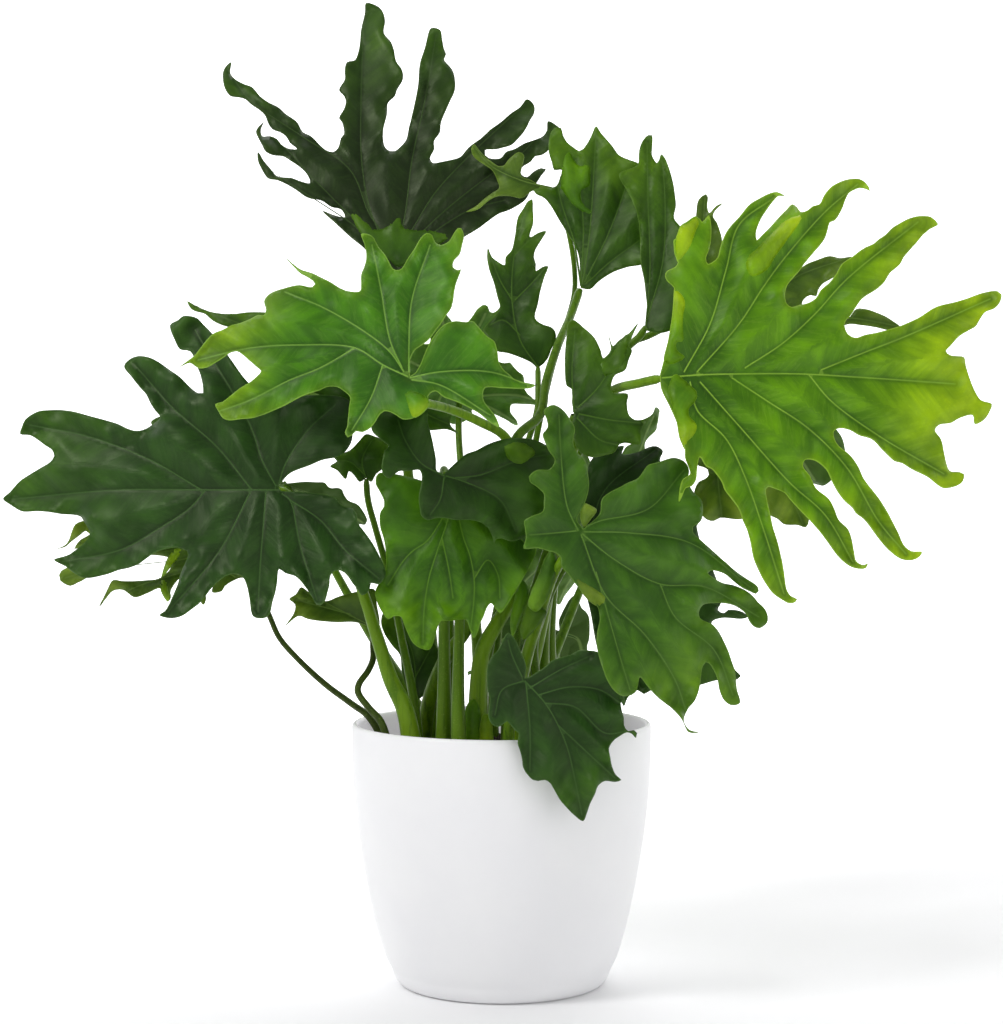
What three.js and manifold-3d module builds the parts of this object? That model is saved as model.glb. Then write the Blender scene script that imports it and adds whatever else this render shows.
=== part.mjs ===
// A potted split-leaf philodendron: a tapered pot, its soil, and long petioles that each carry one leaf.
// Millimetres, +Z up. The origin is the centre of the pot's underside and the leaves face -Y.
import * as THREE from 'three';
import Module from 'manifold-3d';
import { mergeVertices } from 'three/addons/utils/BufferGeometryUtils.js';

const wasm = await Module();
wasm.setup();

// Driving dimensions
const pot = { rimRadius: 110, wall: 4.6, floor: 6, sides: 44, insideHeights: [166, 140, 111, 77, 43.5, 20] };
const soil = { top: 168, mound: 6, clearance: 0.4, bottom: 6.4, crumb: 1.4 };
const blade = {
  thickness: 0.8, rib: 1.5, ribWidth: 3, bulge: 3.2, bulgeWidth: 11, gridStep: 31, veinStep: 22, thin: 1.6,
};
const stalk = {
  sides: 6, steps: 11, rooted: 28, collar: 6, seat: 0.35, edgeGap: 0.8, holeGap: 0.4, overshoot: 3,
  patch: 24, patchRise: 9,
};

// The level view that the leaf outlines are read in: picture points are pixels, right and down.
const view = { distance: 1700, height: 395, tiltDegrees: 1.65, focalLength: 2318, centre: [501.5, 512] };
const tilt = THREE.MathUtils.degToRad(view.tiltDegrees);
const eye = new THREE.Vector3(0, -view.distance, view.height);
const forward = new THREE.Vector3(0, Math.cos(tilt), -Math.sin(tilt));
const upward = new THREE.Vector3(0, Math.sin(tilt), Math.cos(tilt));

// Radius and height along the pot's outside, from its flat underside to the rim
const potOutside = [
  [70, 0], [77, 3.4], [81, 12], [85, 20], [92, 43.5], [99.2, 77], [104.8, 111], [108.2, 140], [109.5, 162],
  [pot.rimRadius, 188],
];
const lip = { height: 188.5, rise: 3.5, angles: [150, 110, 70, 30] };

const colours = {
  pot: 0xececec, soil: 0x3a2c20, petiole: 0x55702a, darkStalk: 0x3f4f24,
  deep: 0x22441c, dark: 0x2b5420, middle: 0x3a6e1c, bright: 0x5c9422,
};

// Each leaf: where its blade meets its petiole, how far behind the pot's axis that is, how the blade
// leans (depth gained per millimetre right and up), arches and cups, its outline, its veins, and its
// petiole's way down.
const leaves = [
  {
    name: 'top_left', colour: 'deep', joint: [398, 270], depth: 90,
    lean: [0.05, 0.35], arch: 5, cup: 8, wave: [3, 0.4],
    outline: `
      398,272 376,259 361,245 352,238 338,225 323,211 334,215 345,217 342,210 332,207 322,201
      307,197 295,189 278,180 268,178 261,168 258,160 258,152 264,161 270,168 277,176 292,178
      300,181 310,183 308,176 300,167 290,160 283,156 273,155 266,152 262,145 258,137 256,131
      260,125 264,122 261,129 262,136 270,136 277,139 281,144 287,148 297,149 290,143 286,136
      280,132 272,129 268,123 265,115 260,110 251,104 245,99 238,97 231,96 226,90 223,80 223,72
      226,66 231,62 230,73 235,79 244,84 252,87 260,96 268,102 278,107 286,114 297,122 303,132
      311,136 320,145 326,150 333,152 338,148 341,138 344,134 342,122 339,118 344,109 346,102 344,96
      339,90 345,79 345,70 347,62 355,60 359,50 361,30 365,12 366,3 373,4 381,9 385,20 384,33 391,42
      394,50 396,61 402,70 403,79 397,90 395,96 388,103 387,114 383,130 385,147 390,151 395,151
      400,147 406,140 409,127 414,108 418,85 420,64 425,48 431,28 440,30 442,38 444,49 446,54 444,59
      453,71 455,88 449,103 441,122 440,132 434,141 434,149 430,158 433,163 440,162 450,160 460,157
      468,148 480,139 490,130 502,121 510,114 520,107 527,99 534,105 534,113 530,120 525,130 516,141
      511,145 504,147 496,149 485,150 485,155 489,158 501,158 506,152 515,149 525,143 534,140
      543,136 547,130 548,121 556,125 560,129 552,140 549,149 541,155 535,156 531,161 522,167
      520,171 522,175 527,177 533,172 541,168 546,169 541,176 538,181 531,190 526,199 511,209
      498,214 488,221 480,227 465,236 446,246 428,258 412,270`,
    veins: [
      '398,268 372,215 362,165 361,100 364,10',
      '396,255 405,215 412,160 425,100 436,35',
      '392,245 370,215 350,170 300,135 250,100 228,70',
      '390,250 350,215 310,175 285,148 262,130',
      '388,254 340,215 300,190 265,165 259,155',
      '400,250 415,225 435,193 470,155 525,104',
      '403,252 440,215 490,175 520,155 547,125',
      '404,257 430,235 470,210 505,200',
    ],
    radii: [8, 3.1], foot: [-48, 24],
    via: [[400, 330, 86], [404, 430, 66], [414, 520, 48], [428, 620, 34], [434, 700, 26]],
  },
  {
    name: 'front_left', colour: 'bright', joint: [408, 377], attach: [421, 402], depth: -115,
    lean: [-0.15, 0.4], arch: 5, cup: 6, wave: [3, 1.1],
    outline: `
      410,376 415,373 420,365 424,355 428,346 434,336 440,328 447,323 456,321 466,322 473,321
      477,325 482,331 488,337 494,341 497,350 499,362 504,370 510,375 514,379 523,382 535,385
      530,388 505,388 485,388 483,394 484,401 490,409 496,417 499,427 490,422 480,414 470,408
      460,403 452,400 444,397 435,391 428,396 430,404 426,410 418,416 410,419 402,419 396,415
      390,412 384,411 380,414 375,422 370,428 362,432 356,431 352,435 348,437 345,432 347,427
      348,418 349,407 350,397 345,392 337,387 327,387 320,390 310,393 302,396 294,400 285,405
      272,411 262,415 252,418 240,419 229,420 223,418 219,412 215,404 222,402 230,396 240,388
      250,382 256,377 261,371 257,367 250,361 242,354 237,351 229,353 224,357 216,362 207,367
      198,368 190,363 180,367 194,356 200,349 206,341 213,334 222,330 232,325 240,323 250,319
      258,315 264,315 266,310 264,301 268,295 275,291 285,288 292,286 300,285 312,287 315,284
      313,281 307,277 300,273 295,268 286,258 300,269 312,273 322,278 330,282 340,288 348,291
      360,291 361,285 361,275 364,267 366,260 366,252 364,243 361,234 372,236 378,246 385,255
      390,264 393,269 399,270 402,268 408,258 415,248 421,238 427,233 432,235 435,242 441,245
      449,241 454,233 458,228 461,228 464,236 462,245 459,255 454,260 453,267 458,270 461,269
      459,276 456,284 454,292 453,300 451,308 446,315 442,322 436,330 430,338 422,345 415,350
      411,357 409,366`,
    veins: [
      '408,377 383,365 355,348 300,345 250,348 198,360',
      '355,348 320,368 290,380 250,400 220,411',
      '404,372 390,352 365,332 322,307 285,292',
      '402,368 390,340 381,290 372,245',
      '409,372 409,345 412,300 430,245',
      '383,365 371,398 352,430',
      '410,378 440,372 490,372 530,385',
      '412,380 440,385 490,415',
    ],
    radii: [8.5, 3.1], foot: [-17, -44],
    via: [[452, 410, -92], [480, 422, -76], [505, 437, -62], [519, 470, -54], [521, 540, -47], [510,
      600, -46], [498, 622, -46], [483, 650, -46], [478, 690, -45]],
  },
  {
    name: 'left_large', colour: 'dark', joint: [278, 489], depth: -60,
    lean: [-0.2, 0.35], arch: 5, cup: 7, wave: [3, 2.3],
    outline: `
      281,491 300,492 312,493 325,495 335,498 340,504 346,507 352,508 356,514 358,523 363,530
      371,541 378,553 384,566 386,574 383,580 379,584 371,583 370,588 367,593 362,595 356,587
      352,582 348,576 344,572 340,570 334,571 330,576 329,585 327,593 325,600 320,605 316,604
      312,597 304,585 300,580 295,576 285,573 279,569 277,582 275,592 272,602 270,612 266,617
      259,618 253,616 251,611 250,600 248,590 246,583 243,577 237,574 230,574 222,578 214,585
      208,592 203,599 198,604 190,610 183,615 175,618 167,618 159,615 165,611 170,603 174,593
      178,583 181,572 185,563 188,555 187,551 183,549 175,547 168,548 160,550 152,554 145,559
      138,564 128,568 118,570 110,573 100,576 90,578 82,577 73,572 65,566 54,560 62,557 70,554
      78,548 84,543 88,538 90,533 88,528 84,522 81,517 75,515 62,514 50,512 38,511 22,511 14,507
      8,503 3,499 10,492 20,481 32,473 42,467 50,462 54,456 52,450 45,445 37,439 30,435 20,434
      22,427 25,420 31,415 40,411 50,410 62,410 75,412 90,416 105,420 118,424 128,429 136,431
      145,429 153,424 160,417 155,410 150,402 146,394 140,387 132,377 124,366 130,359 138,356
      148,357 157,361 170,370 180,377 190,387 198,393 203,393 203,388 201,377 198,368 190,351
      180,349 175,340 170,325 178,320 183,316 190,316 197,318 203,324 210,331 218,341 232,361
      249,383 275,398 310,395 349,400 352,420 352,440 345,452 337,457 322,460 310,465 290,473
      283,480 278,487`,
    veins: [
      '278,490 200,490 120,490 12,499',
      '200,489 150,460 90,437 30,425',
      '252,490 217,447 173,408 135,365',
      '205,491 190,508 160,528 120,550 60,562',
      '250,493 220,550 168,612',
      '266,493 260,570 258,612',
      '282,494 290,500 300,545 317,600',
      '290,500 320,520 345,550 378,578',
      '276,486 262,460 250,425 195,330',
      '279,484 285,465 308,430 335,405',
    ],
    radii: [9, 3.2], foot: [-64, -38],
    via: [[294, 498, -46], [320, 515, -40], [348, 552, -37], [366, 602, -36], [378, 640, -36], [391,
      680, -37], [405, 710, -38]],
  },
  {
    name: 'left_hidden', colour: 'deep', joint: [395, 384], depth: -35,
    lean: [-0.1, 0.3], arch: 4, cup: 5, wave: [2, 3.1],
    outline: `
      395,385 405,400 430,405 452,408 452,414 450,424 458,433 447,429 430,430 415,425 400,428
      380,420 350,405 320,395 290,380 262,365 250,345 240,330 225,326 212,320 205,314 192,309
      187,301 200,308 212,312 230,314 252,312 280,315 300,330 330,335 345,310 375,300 395,320
      400,350`,
    veins: [
      '395,384 340,360 270,335 195,306',
      '397,388 420,410 450,425',
    ],
    radii: [5.5, 2.4], foot: [-37, 0],
    via: [[398, 400, -24], [420, 450, -14], [441, 540, -8], [448, 600, -4], [450, 650, -2]],
  },
  {
    name: 'left_low', colour: 'middle', joint: [262, 600], depth: 50,
    lean: [0.1, 0.3], arch: 4, cup: 5, wave: [2, 0.9],
    outline: `
      262,600 250,588 243,578 225,586 222,591 212,592 214,580 205,575 206,600 203,605 200,600
      198,580 185,575 171,590 170,600 163,595 160,588 147,593 134,597 123,590 113,591 105,600 99,607
      103,599 107,590 113,580 122,581 134,581 148,580 158,579 168,572 172,560 150,555 120,560 98,566
      86,578 77,583 70,586 60,580 59,575 61,571 66,568 90,556 100,548 82,547 74,549 76,545 80,540
      87,536 90,534 86,531 79,536 71,542 65,547 57,549 65,545 69,540 71,534 76,524 83,521 110,519
      150,518 200,520 245,530 268,552 274,580`,
    veins: [
      '262,600 220,570 150,582 102,603',
      '225,570 200,550 120,540 60,549',
      '205,552 180,560 110,565 65,578',
      '262,600 240,583',
    ],
    radii: [3.2, 2.1], foot: [-86, -6],
    via: [[270, 617, 46], [279, 637, 42], [296, 657, 36], [325, 684, 24], [352, 704, 12], [369, 717,
      2]],
  },
  {
    name: 'right_large', colour: 'bright', joint: [662, 378], depth: -80,
    lean: [0.05, 0.3], arch: 5, cup: 4, wave: [3, 1.9],
    outline: `
      660,374 665,355 670,331 672,319 674,300 674,288 667,281 665,276 667,271 675,267 678,262
      675,255 674,246 674,240 679,236 680,226 686,222 696,216 700,219 702,222 709,215 711,224
      711,239 709,250 706,258 708,264 714,261 718,257 720,248 723,239 729,228 739,217 743,212
      750,204 760,198 768,194 777,192 785,196 778,196 772,202 767,209 760,221 756,233 757,240
      761,236 771,226 780,216 787,209 792,204 797,207 801,212 808,210 813,206 820,204 824,196
      830,188 840,182 850,179 860,179 866,183 869,187 870,191 866,189 860,188 854,190 849,193
      845,201 842,209 835,220 830,222 828,228 825,238 821,244 813,253 804,264 800,270 792,279
      787,286 785,295 787,304 792,307 799,305 808,303 816,298 821,290 830,282 837,273 842,264
      852,257 861,250 866,247 873,244 879,239 885,235 892,228 900,223 910,218 920,216 931,217
      935,220 938,224 930,229 923,235 917,242 910,250 904,257 900,264 890,273 885,281 878,288
      862,299 856,307 851,315 845,322 845,328 848,334 856,338 865,335 876,333 890,329 900,326
      910,322 920,317 934,308 942,305 955,302 966,299 982,293 997,291 1001,294 1000,302 995,308
      985,312 980,319 976,326 969,330 959,336 951,345 946,351 950,355 958,356 964,357 966,366
      970,379 975,391 981,400 992,404 990,411 984,420 975,424 973,415 960,418 951,423 939,425
      935,430 941,439 944,452 947,465 950,471 960,472 964,474 963,481 958,485 944,488 938,485
      928,477 912,469 902,463 895,461 883,450 872,439 859,435 850,430 840,428 834,431 834,437
      838,445 850,455 858,466 864,479 874,492 880,500 890,517 898,532 904,545 911,551 922,552
      919,557 912,560 902,559 890,551 880,540 872,529 864,519 856,513 853,508 845,501 838,492
      832,481 826,469 814,460 805,460 803,466 810,476 816,488 829,499 834,508 839,520 848,529
      852,540 854,553 856,561 864,565 868,563 866,568 859,569 850,566 838,556 827,541 816,527
      798,508 789,498 785,493 776,489 768,487 766,489 767,500 770,514 773,527 778,543 782,561
      785,580 787,590 791,596 797,599 795,602 789,603 781,599 773,593 767,585 760,573 754,559
      751,545 747,530 743,520 739,509 731,498 725,490 722,482 718,476 712,469 706,466 700,457
      697,470 696,480 692,486 686,488 682,497 679,502 680,487 683,479 690,474 688,466 685,458
      685,450 682,440 677,423 670,407 661,388`,
    veins: [
      '662,378 700,375 740,374 800,374 870,378 955,384',
      '745,368 783,343 815,314 847,279 918,222',
      '821,370 863,353 904,337 990,299',
      '697,372 739,324 764,286 783,260 825,212 858,184',
      '684,372 710,324 726,270 739,225 775,197',
      '809,375 831,401 879,436 944,474',
      '732,378 767,401 809,429 847,468 879,522 906,554',
      '700,382 739,426 790,483 825,515 853,562',
      '690,382 697,410 726,439 745,477 764,531 784,594',
    ],
    radii: [10, 3.3], foot: [8, 2],
    via: [[640, 383, -60], [612, 391, -36], [588, 414, -20], [570, 460, -10], [558, 530, -5], [546,
      595, -3], [528, 672, 0], [515, 715, 1]],
  },
  {
    name: 'top_middle', colour: 'dark', joint: [581, 286], depth: 60,
    lean: [0, 0.25], arch: 4, cup: 10, wave: [2.5, 2.7],
    outline: `
      581,288 580,272 579,258 575,245 568,234 559,220 551,206 544,198 536,194 533,190 541,188
      556,186 560,177 562,170 554,170 552,163 549,153 549,140 551,132 554,128 561,128 563,135
      567,142 573,147 579,151 583,149 588,142 592,134 596,126 601,133 607,140 613,147 619,155
      630,160 639,164 646,190 648,225 646,262 627,267 613,272 599,281 590,289`,
    veins: [
      '581,286 575,245 562,205 556,180',
      '583,284 590,230 596,132',
      '585,282 610,230 630,175',
      '582,276 583,220 575,160',
      '586,284 610,262 640,240',
    ],
    radii: [6.5, 3.1], foot: [-58, 8],
    via: [[571, 315, 46], [558, 345, 17], [546, 382, -2], [540, 415, -18], [518, 436, -36], [502,
      472, -36], [490, 550, -27], [468, 626, -18], [447, 656, -14], [431, 694, -4]],
  },
  {
    name: 'top_right', colour: 'dark', joint: [646, 326], depth: 15,
    lean: [0.05, 0.3], arch: 4, cup: 6, wave: [2, 4.1],
    outline: `
      645,330 646,318 647,307 646,296 644,279 641,264 640,240 637,212 628,192 619,174 629,169
      638,165 639,158 639,151 642,142 648,135 652,135 652,145 652,155 657,163 659,160 661,154
      665,158 668,166 672,178 675,195 676,206 674,218 680,226 690,240 696,270 690,310 675,328
      660,333`,
    veins: [
      '646,326 650,270 648,200 647,142',
      '648,318 663,260 665,200 662,160',
    ],
    radii: [6, 2.8], foot: [32, 26],
    via: [[640, 336, 20], [628, 347, 22], [606, 375, 25], [582, 440, 26], [560, 540, 25], [545, 620,
      24]],
  },
  {
    name: 'right_behind', colour: 'deep', joint: [685, 319], depth: 45,
    lean: [0.05, 0.25], arch: 4, cup: 5, wave: [2, 5.2],
    outline: `
      684,318 686,300 690,280 693,245 696,215 698,201 702,196 706,194 708,197 707,206 709,213
      716,206 723,203 715,211 713,216 717,223 720,232 722,241 721,252 735,275 760,290 778,285
      790,277 800,269 807,264 818,260 830,256 840,258 852,257 845,266 835,276 822,284 818,290
      816,296 810,295 804,299 802,306 815,312 830,316 848,318 856,309 865,309 875,312 885,316
      893,321 900,326 905,331 895,331 879,328 861,325 848,324 830,335 812,352 800,380 795,420
      798,450 800,480 806,505 809,520 806,527 798,525 784,524 778,519 770,515 766,505 758,508
      742,519 720,518 714,521 708,520 700,512 694,495 699,482 705,479 709,475 708,470 703,467
      696,464 700,440 705,400 700,370 692,345 688,325`,
    veins: [
      '686,319 720,335 760,320 850,318 898,326',
      '740,322 760,300 800,275 848,258',
      '690,315 700,260 705,198',
      '700,330 730,380 770,450 803,524',
      '708,345 715,400 718,480 722,516',
    ],
    radii: [6, 2.6], foot: [44, 50],
    via: [[672, 324, 48], [650, 335, 50], [628, 345, 50], [600, 385, 49], [575, 450, 48], [556, 560,
      48], [550, 650, 49]],
  },
  {
    name: 'front_right', colour: 'dark', joint: [580, 530], depth: -125,
    lean: [0.35, 0.35], arch: 5, cup: -4, wave: [3, 3.6],
    outline: `
      583,529 593,521 600,513 602,499 610,492 620,487 627,483 638,478 644,470 648,465 659,462
      675,458 685,462 689,470 688,478 692,490 702,501 701,521 693,527 693,532 703,542 712,550
      723,560 737,572 750,581 758,587 759,591 756,594 750,591 741,587 732,580 725,574 718,571
      711,570 708,573 714,578 723,583 733,585 745,590 753,596 758,602 765,609 768,617 767,623
      760,628 754,626 749,620 747,615 741,609 734,605 725,603 715,603 703,605 699,612 700,618
      707,622 712,624 719,632 726,646 731,659 735,671 737,689 740,703 731,705 724,700 720,691
      718,680 715,672 709,663 706,662 703,666 701,676 700,685 697,696 694,702 688,709 684,721
      690,730 699,732 689,732 682,719 672,708 660,699 652,691 646,684 640,677 638,685 636,692
      632,695 623,696 615,691 608,681 603,668 600,660 597,645 598,630 600,620 599,612 597,606
      590,600 579,588 569,575 561,565 561,558 556,553 549,551 538,548 524,548 526,538 525,528
      524,521 532,516 543,511 544,501 544,494 537,487 530,482 529,477 537,470 550,469 555,460
      549,451 545,442 543,434 548,427 547,419 544,411 548,407 554,405 562,409 570,419 575,429
      573,441 577,452 585,460 588,473 589,487 586,500 581,511 577,520`,
    veins: [
      '578,531 567,506 561,455 559,415',
      '583,528 600,521 648,509 684,470',
      '584,532 630,533 690,543 750,587',
      '582,534 615,560 660,584 705,587 759,617',
      '660,584 675,617 714,650 733,695',
      '581,535 606,596 645,635 675,680 688,718',
      '596,572 618,650 630,690',
      '576,531 555,533 530,535',
    ],
    radii: [8.5, 3], foot: [16, -46],
    via: [[567, 552, -104], [553, 577, -84], [541, 612, -66], [527, 655, -54], [518, 700, -48]],
  },
  {
    name: 'front_hanging', colour: 'bright', joint: [455, 501], depth: -75,
    lean: [0, 0.25], arch: 3, cup: 8, wave: [3, 4.8],
    outline: `
      452,500 440,488 420,480 395,474 378,474 376,484 379,490 384,501 384,506 380,513 380,525
      384,540 386,555 385,572 378,585 375,592 377,602 382,612 388,619 394,616 401,617 404,624
      408,634 413,643 420,648 429,650 435,638 437,629 441,621 450,621 458,620 466,620 470,630
      474,638 478,631 480,623 483,617 487,607 491,603 496,609 500,613 506,606 514,594 522,580
      530,566 536,552 535,535 520,520 500,505 480,496 465,494`,
    veins: [
      '453,502 447,523 437,552 429,578 424,611 423,643',
      '442,538 449,571 453,598',
      '456,503 463,536 470,556 474,579 474,598 470,633',
      '474,579 488,560 498,575 500,598',
      '450,506 427,541 414,550 404,560 388,585',
      '460,500 500,520 530,548',
    ],
    radii: [7, 3], foot: [-30, -64],
    via: [[458, 524, -62], [460, 580, -60], [459, 640, -61], [458, 700, -63]],
  },
  {
    name: 'front_middle', colour: 'dark', joint: [445, 474], depth: -105,
    lean: [0.3, 0.3], arch: 4, cup: 4, wave: [2.5, 0.7],
    outline: `
      444,474 451,467 460,459 466,454 477,450 486,445 500,440 515,438 535,440 550,448 560,462
      562,480 556,500 548,515 535,530 521,539 511,541 501,538 496,539 494,543 492,536 488,528
      480,522 470,520 456,520 445,518 436,518 428,520 422,516 420,508 419,497 421,486 422,477
      420,470 408,471 399,471 394,475 390,478 384,475 382,469 383,459 385,450 389,446 382,440
      372,430 375,415 395,405 415,405 427,411 428,422 431,434 434,448 436,459 437,471`,
    veins: [
      '444,476 421,463 405,440 398,420',
      '446,476 465,482 500,500 515,530',
      '455,478 480,475 520,460 545,455',
      '444,478 440,500 430,515',
    ],
    radii: [7, 2.9], foot: [-42, -38],
    via: [[444, 470, -88], [443, 482, -58], [443, 530, -40], [444, 620, -37], [444, 700, -38]],
  },
  {
    name: 'over_rim', colour: 'dark', joint: [525, 681], depth: -118,
    lean: [0, 0.1], arch: 2, cup: 5, wave: [2, 2.2],
    outline: `
      525,678 529,677 536,673 544,668 552,661 560,658 570,655 580,650 590,651 597,652 605,660
      612,675 620,690 624,697 624,706 621,702 622,711 624,718 624,725 628,731 634,730 637,733
      636,738 632,734 627,732 620,736 613,741 609,748 610,757 612,767 616,775 621,780 615,782
      605,781 598,786 595,794 590,804 587,813 583,821 574,815 567,808 560,800 555,791 550,783
      545,780 538,781 533,780 527,774 523,767 522,759 520,750 518,743 519,733 515,730 510,724
      507,721 503,724 498,727 492,724 489,718 489,709 490,698 488,692 487,680 488,664 492,656
      498,650 503,640 508,633 514,638 519,648 523,657 526,666`,
    veins: [
      '525,681 545,703 558,725 568,750 575,780 582,815',
      '530,688 560,670 592,655',
      '538,695 570,687 600,690 620,703',
      '545,703 575,707 605,733 628,731',
      '558,725 590,755 615,778',
      '526,683 530,730 530,770',
      '523,681 502,690 495,715',
      '522,677 512,655 508,640',
    ],
    radii: [5.5, 2.7], foot: [4, -76],
    via: [[503, 712, -80], [504, 690, -90], [511, 678, -104]],
  },
  {
    name: 'middle_small', colour: 'middle', joint: [574, 412], depth: -60,
    lean: [0, 0.3], arch: 4, cup: 5, wave: [2, 5.9],
    outline: `
      574,411 572,403 572,389 567,386 565,369 565,352 567,335 569,322 573,320 584,328 593,336
      598,344 601,351 603,358 609,353 611,348 609,336 613,346 618,341 629,333 638,323 633,334
      629,346 632,350 629,359 625,370 615,375 612,381 612,392 628,394 627,403 629,415 635,420
      646,420 641,431 640,444 624,443 619,445 615,452 605,455 592,457 580,452 574,440 572,425`,
    veins: [
      '574,412 572,370 575,330',
      '578,408 600,385 622,345',
      '579,414 610,420 640,423',
      '577,418 600,440 618,445',
    ],
    radii: [5.5, 2.3], foot: [4, -24],
    via: [[570, 432, -50], [560, 500, -38], [537, 580, -26], [517, 640, -23], [508, 700, -23]],
  },
  {
    name: 'middle_curled', colour: 'deep', joint: [538, 366], depth: 35,
    lean: [0, 0.25], arch: 3, cup: 14, wave: [2, 1.6],
    outline: `
      537,368 532,363 522,358 508,353 497,351 490,343 483,331 487,324 494,317 500,306 498,298
      494,283 489,268 487,256 488,248 492,257 500,263 505,265 506,257 512,250 515,237 516,227
      518,217 523,209 528,201 532,199 533,211 533,223 530,237 538,233 546,231 541,240 535,251
      534,257 536,264 536,271 542,267 548,266 544,277 541,288 538,304 535,318 542,324 551,327
      555,331 556,339 551,350 548,358 542,365`,
    veins: [
      '537,366 520,340 512,300 515,250 528,205',
      '520,335 503,320 490,325',
      '512,300 500,280 490,255',
      '515,300 530,285 545,268',
      '515,255 530,240 543,233',
    ],
    radii: [5, 2.2], foot: [-18, 24],
    via: [[538, 386, 28], [537, 410, 20], [526, 450, 14], [515, 520, 14], [495, 620, 18], [480, 700,
      22]],
  },
  {
    name: 'right_dark', colour: 'deep', joint: [589, 543], depth: -60,
    lean: [0.3, 0.35], arch: 4, cup: -3, wave: [2.5, 0.1],
    outline: `
      588,545 583,520 585,490 590,462 600,452 615,447 624,446 622,454 638,452 649,447 656,446
      663,451 660,460 670,480 690,500 700,540 715,575 722,600 718,610 724,613 728,610 736,610
      743,612 748,617 741,619 731,618 722,618 712,622 716,640 728,660 736,671 741,676 738,679
      730,681 718,680 700,685 680,690 665,688 650,691 644,694 638,690 628,697 624,706 620,697
      610,680 598,650 592,620 585,580`,
    veins: [
      '590,543 640,580 690,630 738,676',
      '588,538 605,490 655,450',
      '604,552 660,580 745,617',
      '590,548 610,620 640,688',
    ],
    radii: [5.5, 2.6], foot: [28, -10],
    via: [[573, 556, -44], [555, 584, -30], [542, 616, -24], [534, 645, -20], [537, 690, -14]],
  },
  {
    name: 'left_small', colour: 'middle', joint: [373, 627], depth: -14,
    lean: [-0.1, 0.2], arch: 3, cup: 5, wave: [1.5, 3.3],
    outline: `
      373,628 365,625 354,622 335,622 308,619 299,616 290,622 284,628 288,622 294,613 295,604
      289,599 296,594 301,587 311,594 325,601 340,596 364,590 374,589 377,606 379,626`,
    veins: [
      '373,627 340,610 305,592',
      '350,614 296,600',
    ],
    radii: [3.4, 2.3], foot: [-80, -46],
    via: [[373, 644, -16], [373, 659, -20], [368, 671, -26], [359, 684, -32], [358, 692, -34], [369,
      708, -40], [381, 722, -44]],
  },
  {
    name: 'edge_strip', colour: 'middle', joint: [552, 188], depth: 96,
    lean: [0, 0.2], arch: 2, cup: 2, wave: [1, 1.4],
    outline: `
      553,188 540,185 531,180 521,176 522,167 524,155 519,152 510,158 503,166 498,166 489,160
      480,151 474,144 471,149 472,154 477,160 485,165 492,170 497,180 499,188 492,193 484,199
      476,206 466,212 478,209 489,200 498,196 510,196 522,198 530,192 535,190 545,190`,
    veins: [
      '552,188 520,180 490,165 474,146',
    ],
    radii: [4.5, 2], foot: [-6, 46],
    via: [[567, 226, 98], [575, 285, 88], [566, 325, 70], [553, 365, 58], [540, 420, 48], [525, 500,
      42], [502, 600, 42], [493, 690, 44]],
  },
  {
    name: 'left_olive', colour: 'middle', joint: [366, 479], depth: 10,
    lean: [0, 0.2], arch: 3, cup: 6, wave: [1, 2.5],
    outline: `
      366,478 360,482 354,475 349,471 346,479 337,470 330,466 337,461 333,457 340,454 350,450
      360,440 366,434 374,436 381,439 389,447 386,454 383,462 382,469 376,474 371,482`,
    veins: [
      '366,478 362,460 372,440',
      '364,474 350,462 334,460',
    ],
    radii: [4.5, 2.4], foot: [-60, -16],
    via: [[368, 500, 11], [376, 530, 9], [390, 580, 2], [402, 640, -8], [412, 690, -14]],
  },
  {
    name: 'inner_left', colour: 'deep', joint: [415, 698], depth: 10,
    lean: [0, 0.2], arch: 2, cup: 4, wave: [1, 1.2],
    outline: `
      418,700 408,690 402,672 400,655 392,645 384,632 381,620 385,610 395,606 408,612 418,622
      432,640 440,655 438,672 430,690`,
    veins: [
      '416,698 413,655 395,612',
      '414,680 430,650',
    ],
    radii: [3.2, 2.2], foot: [-70, 14],
    via: [[413, 712, 12]],
  },
];

// Leaves on the far side: a named leaf's blade, tipped back and then turned about Z at its joint, in degrees
const farLeaves = [
  {
    name: 'far_left', like: 'left_large', mirrored: true, size: 0.74, turn: 168, tip: -22,
    at: [-172, 128, 366], foot: [-54, 46], way: [[-150, 122, 330], [-110, 100, 262]],
  },
  {
    name: 'far_high', like: 'front_left', mirrored: true, size: 0.86, turn: 190, tip: -18,
    at: [-34, 168, 432], foot: [-14, 76], way: [[-34, 150, 400], [-24, 116, 300]],
  },
  {
    name: 'far_right', like: 'front_right', mirrored: false, size: 0.9, turn: 205, tip: -15,
    at: [92, 176, 356], foot: [18, 72], way: [[84, 164, 330], [54, 116, 262]],
  },
  {
    name: 'far_side', like: 'front_middle', mirrored: true, size: 1.05, turn: 150, tip: -20,
    at: [196, 128, 408], foot: [70, 50], way: [[180, 124, 380], [116, 92, 276]],
  },
  {
    name: 'far_low', like: 'over_rim', mirrored: false, size: 0.95, turn: 185, tip: -8,
    at: [46, 140, 246], foot: [44, 76], way: [[44, 126, 232]],
  },
];

function readPoints(text) {
  return text.trim().split(/\s+/).map((pair) => pair.split(',').map(Number));
}

// The point at a picture position and a depth behind the pot's axis
function inSpace(u, v, depth) {
  const ray = forward.clone()
    .addScaledVector(new THREE.Vector3(1, 0, 0), (u - view.centre[0]) / view.focalLength)
    .addScaledVector(upward, (view.centre[1] - v) / view.focalLength);
  return eye.clone().addScaledVector(ray, (depth - eye.y) / ray.y);
}

function scaleAt(depth) {
  return (view.distance + depth) / view.focalLength;
}

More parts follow.
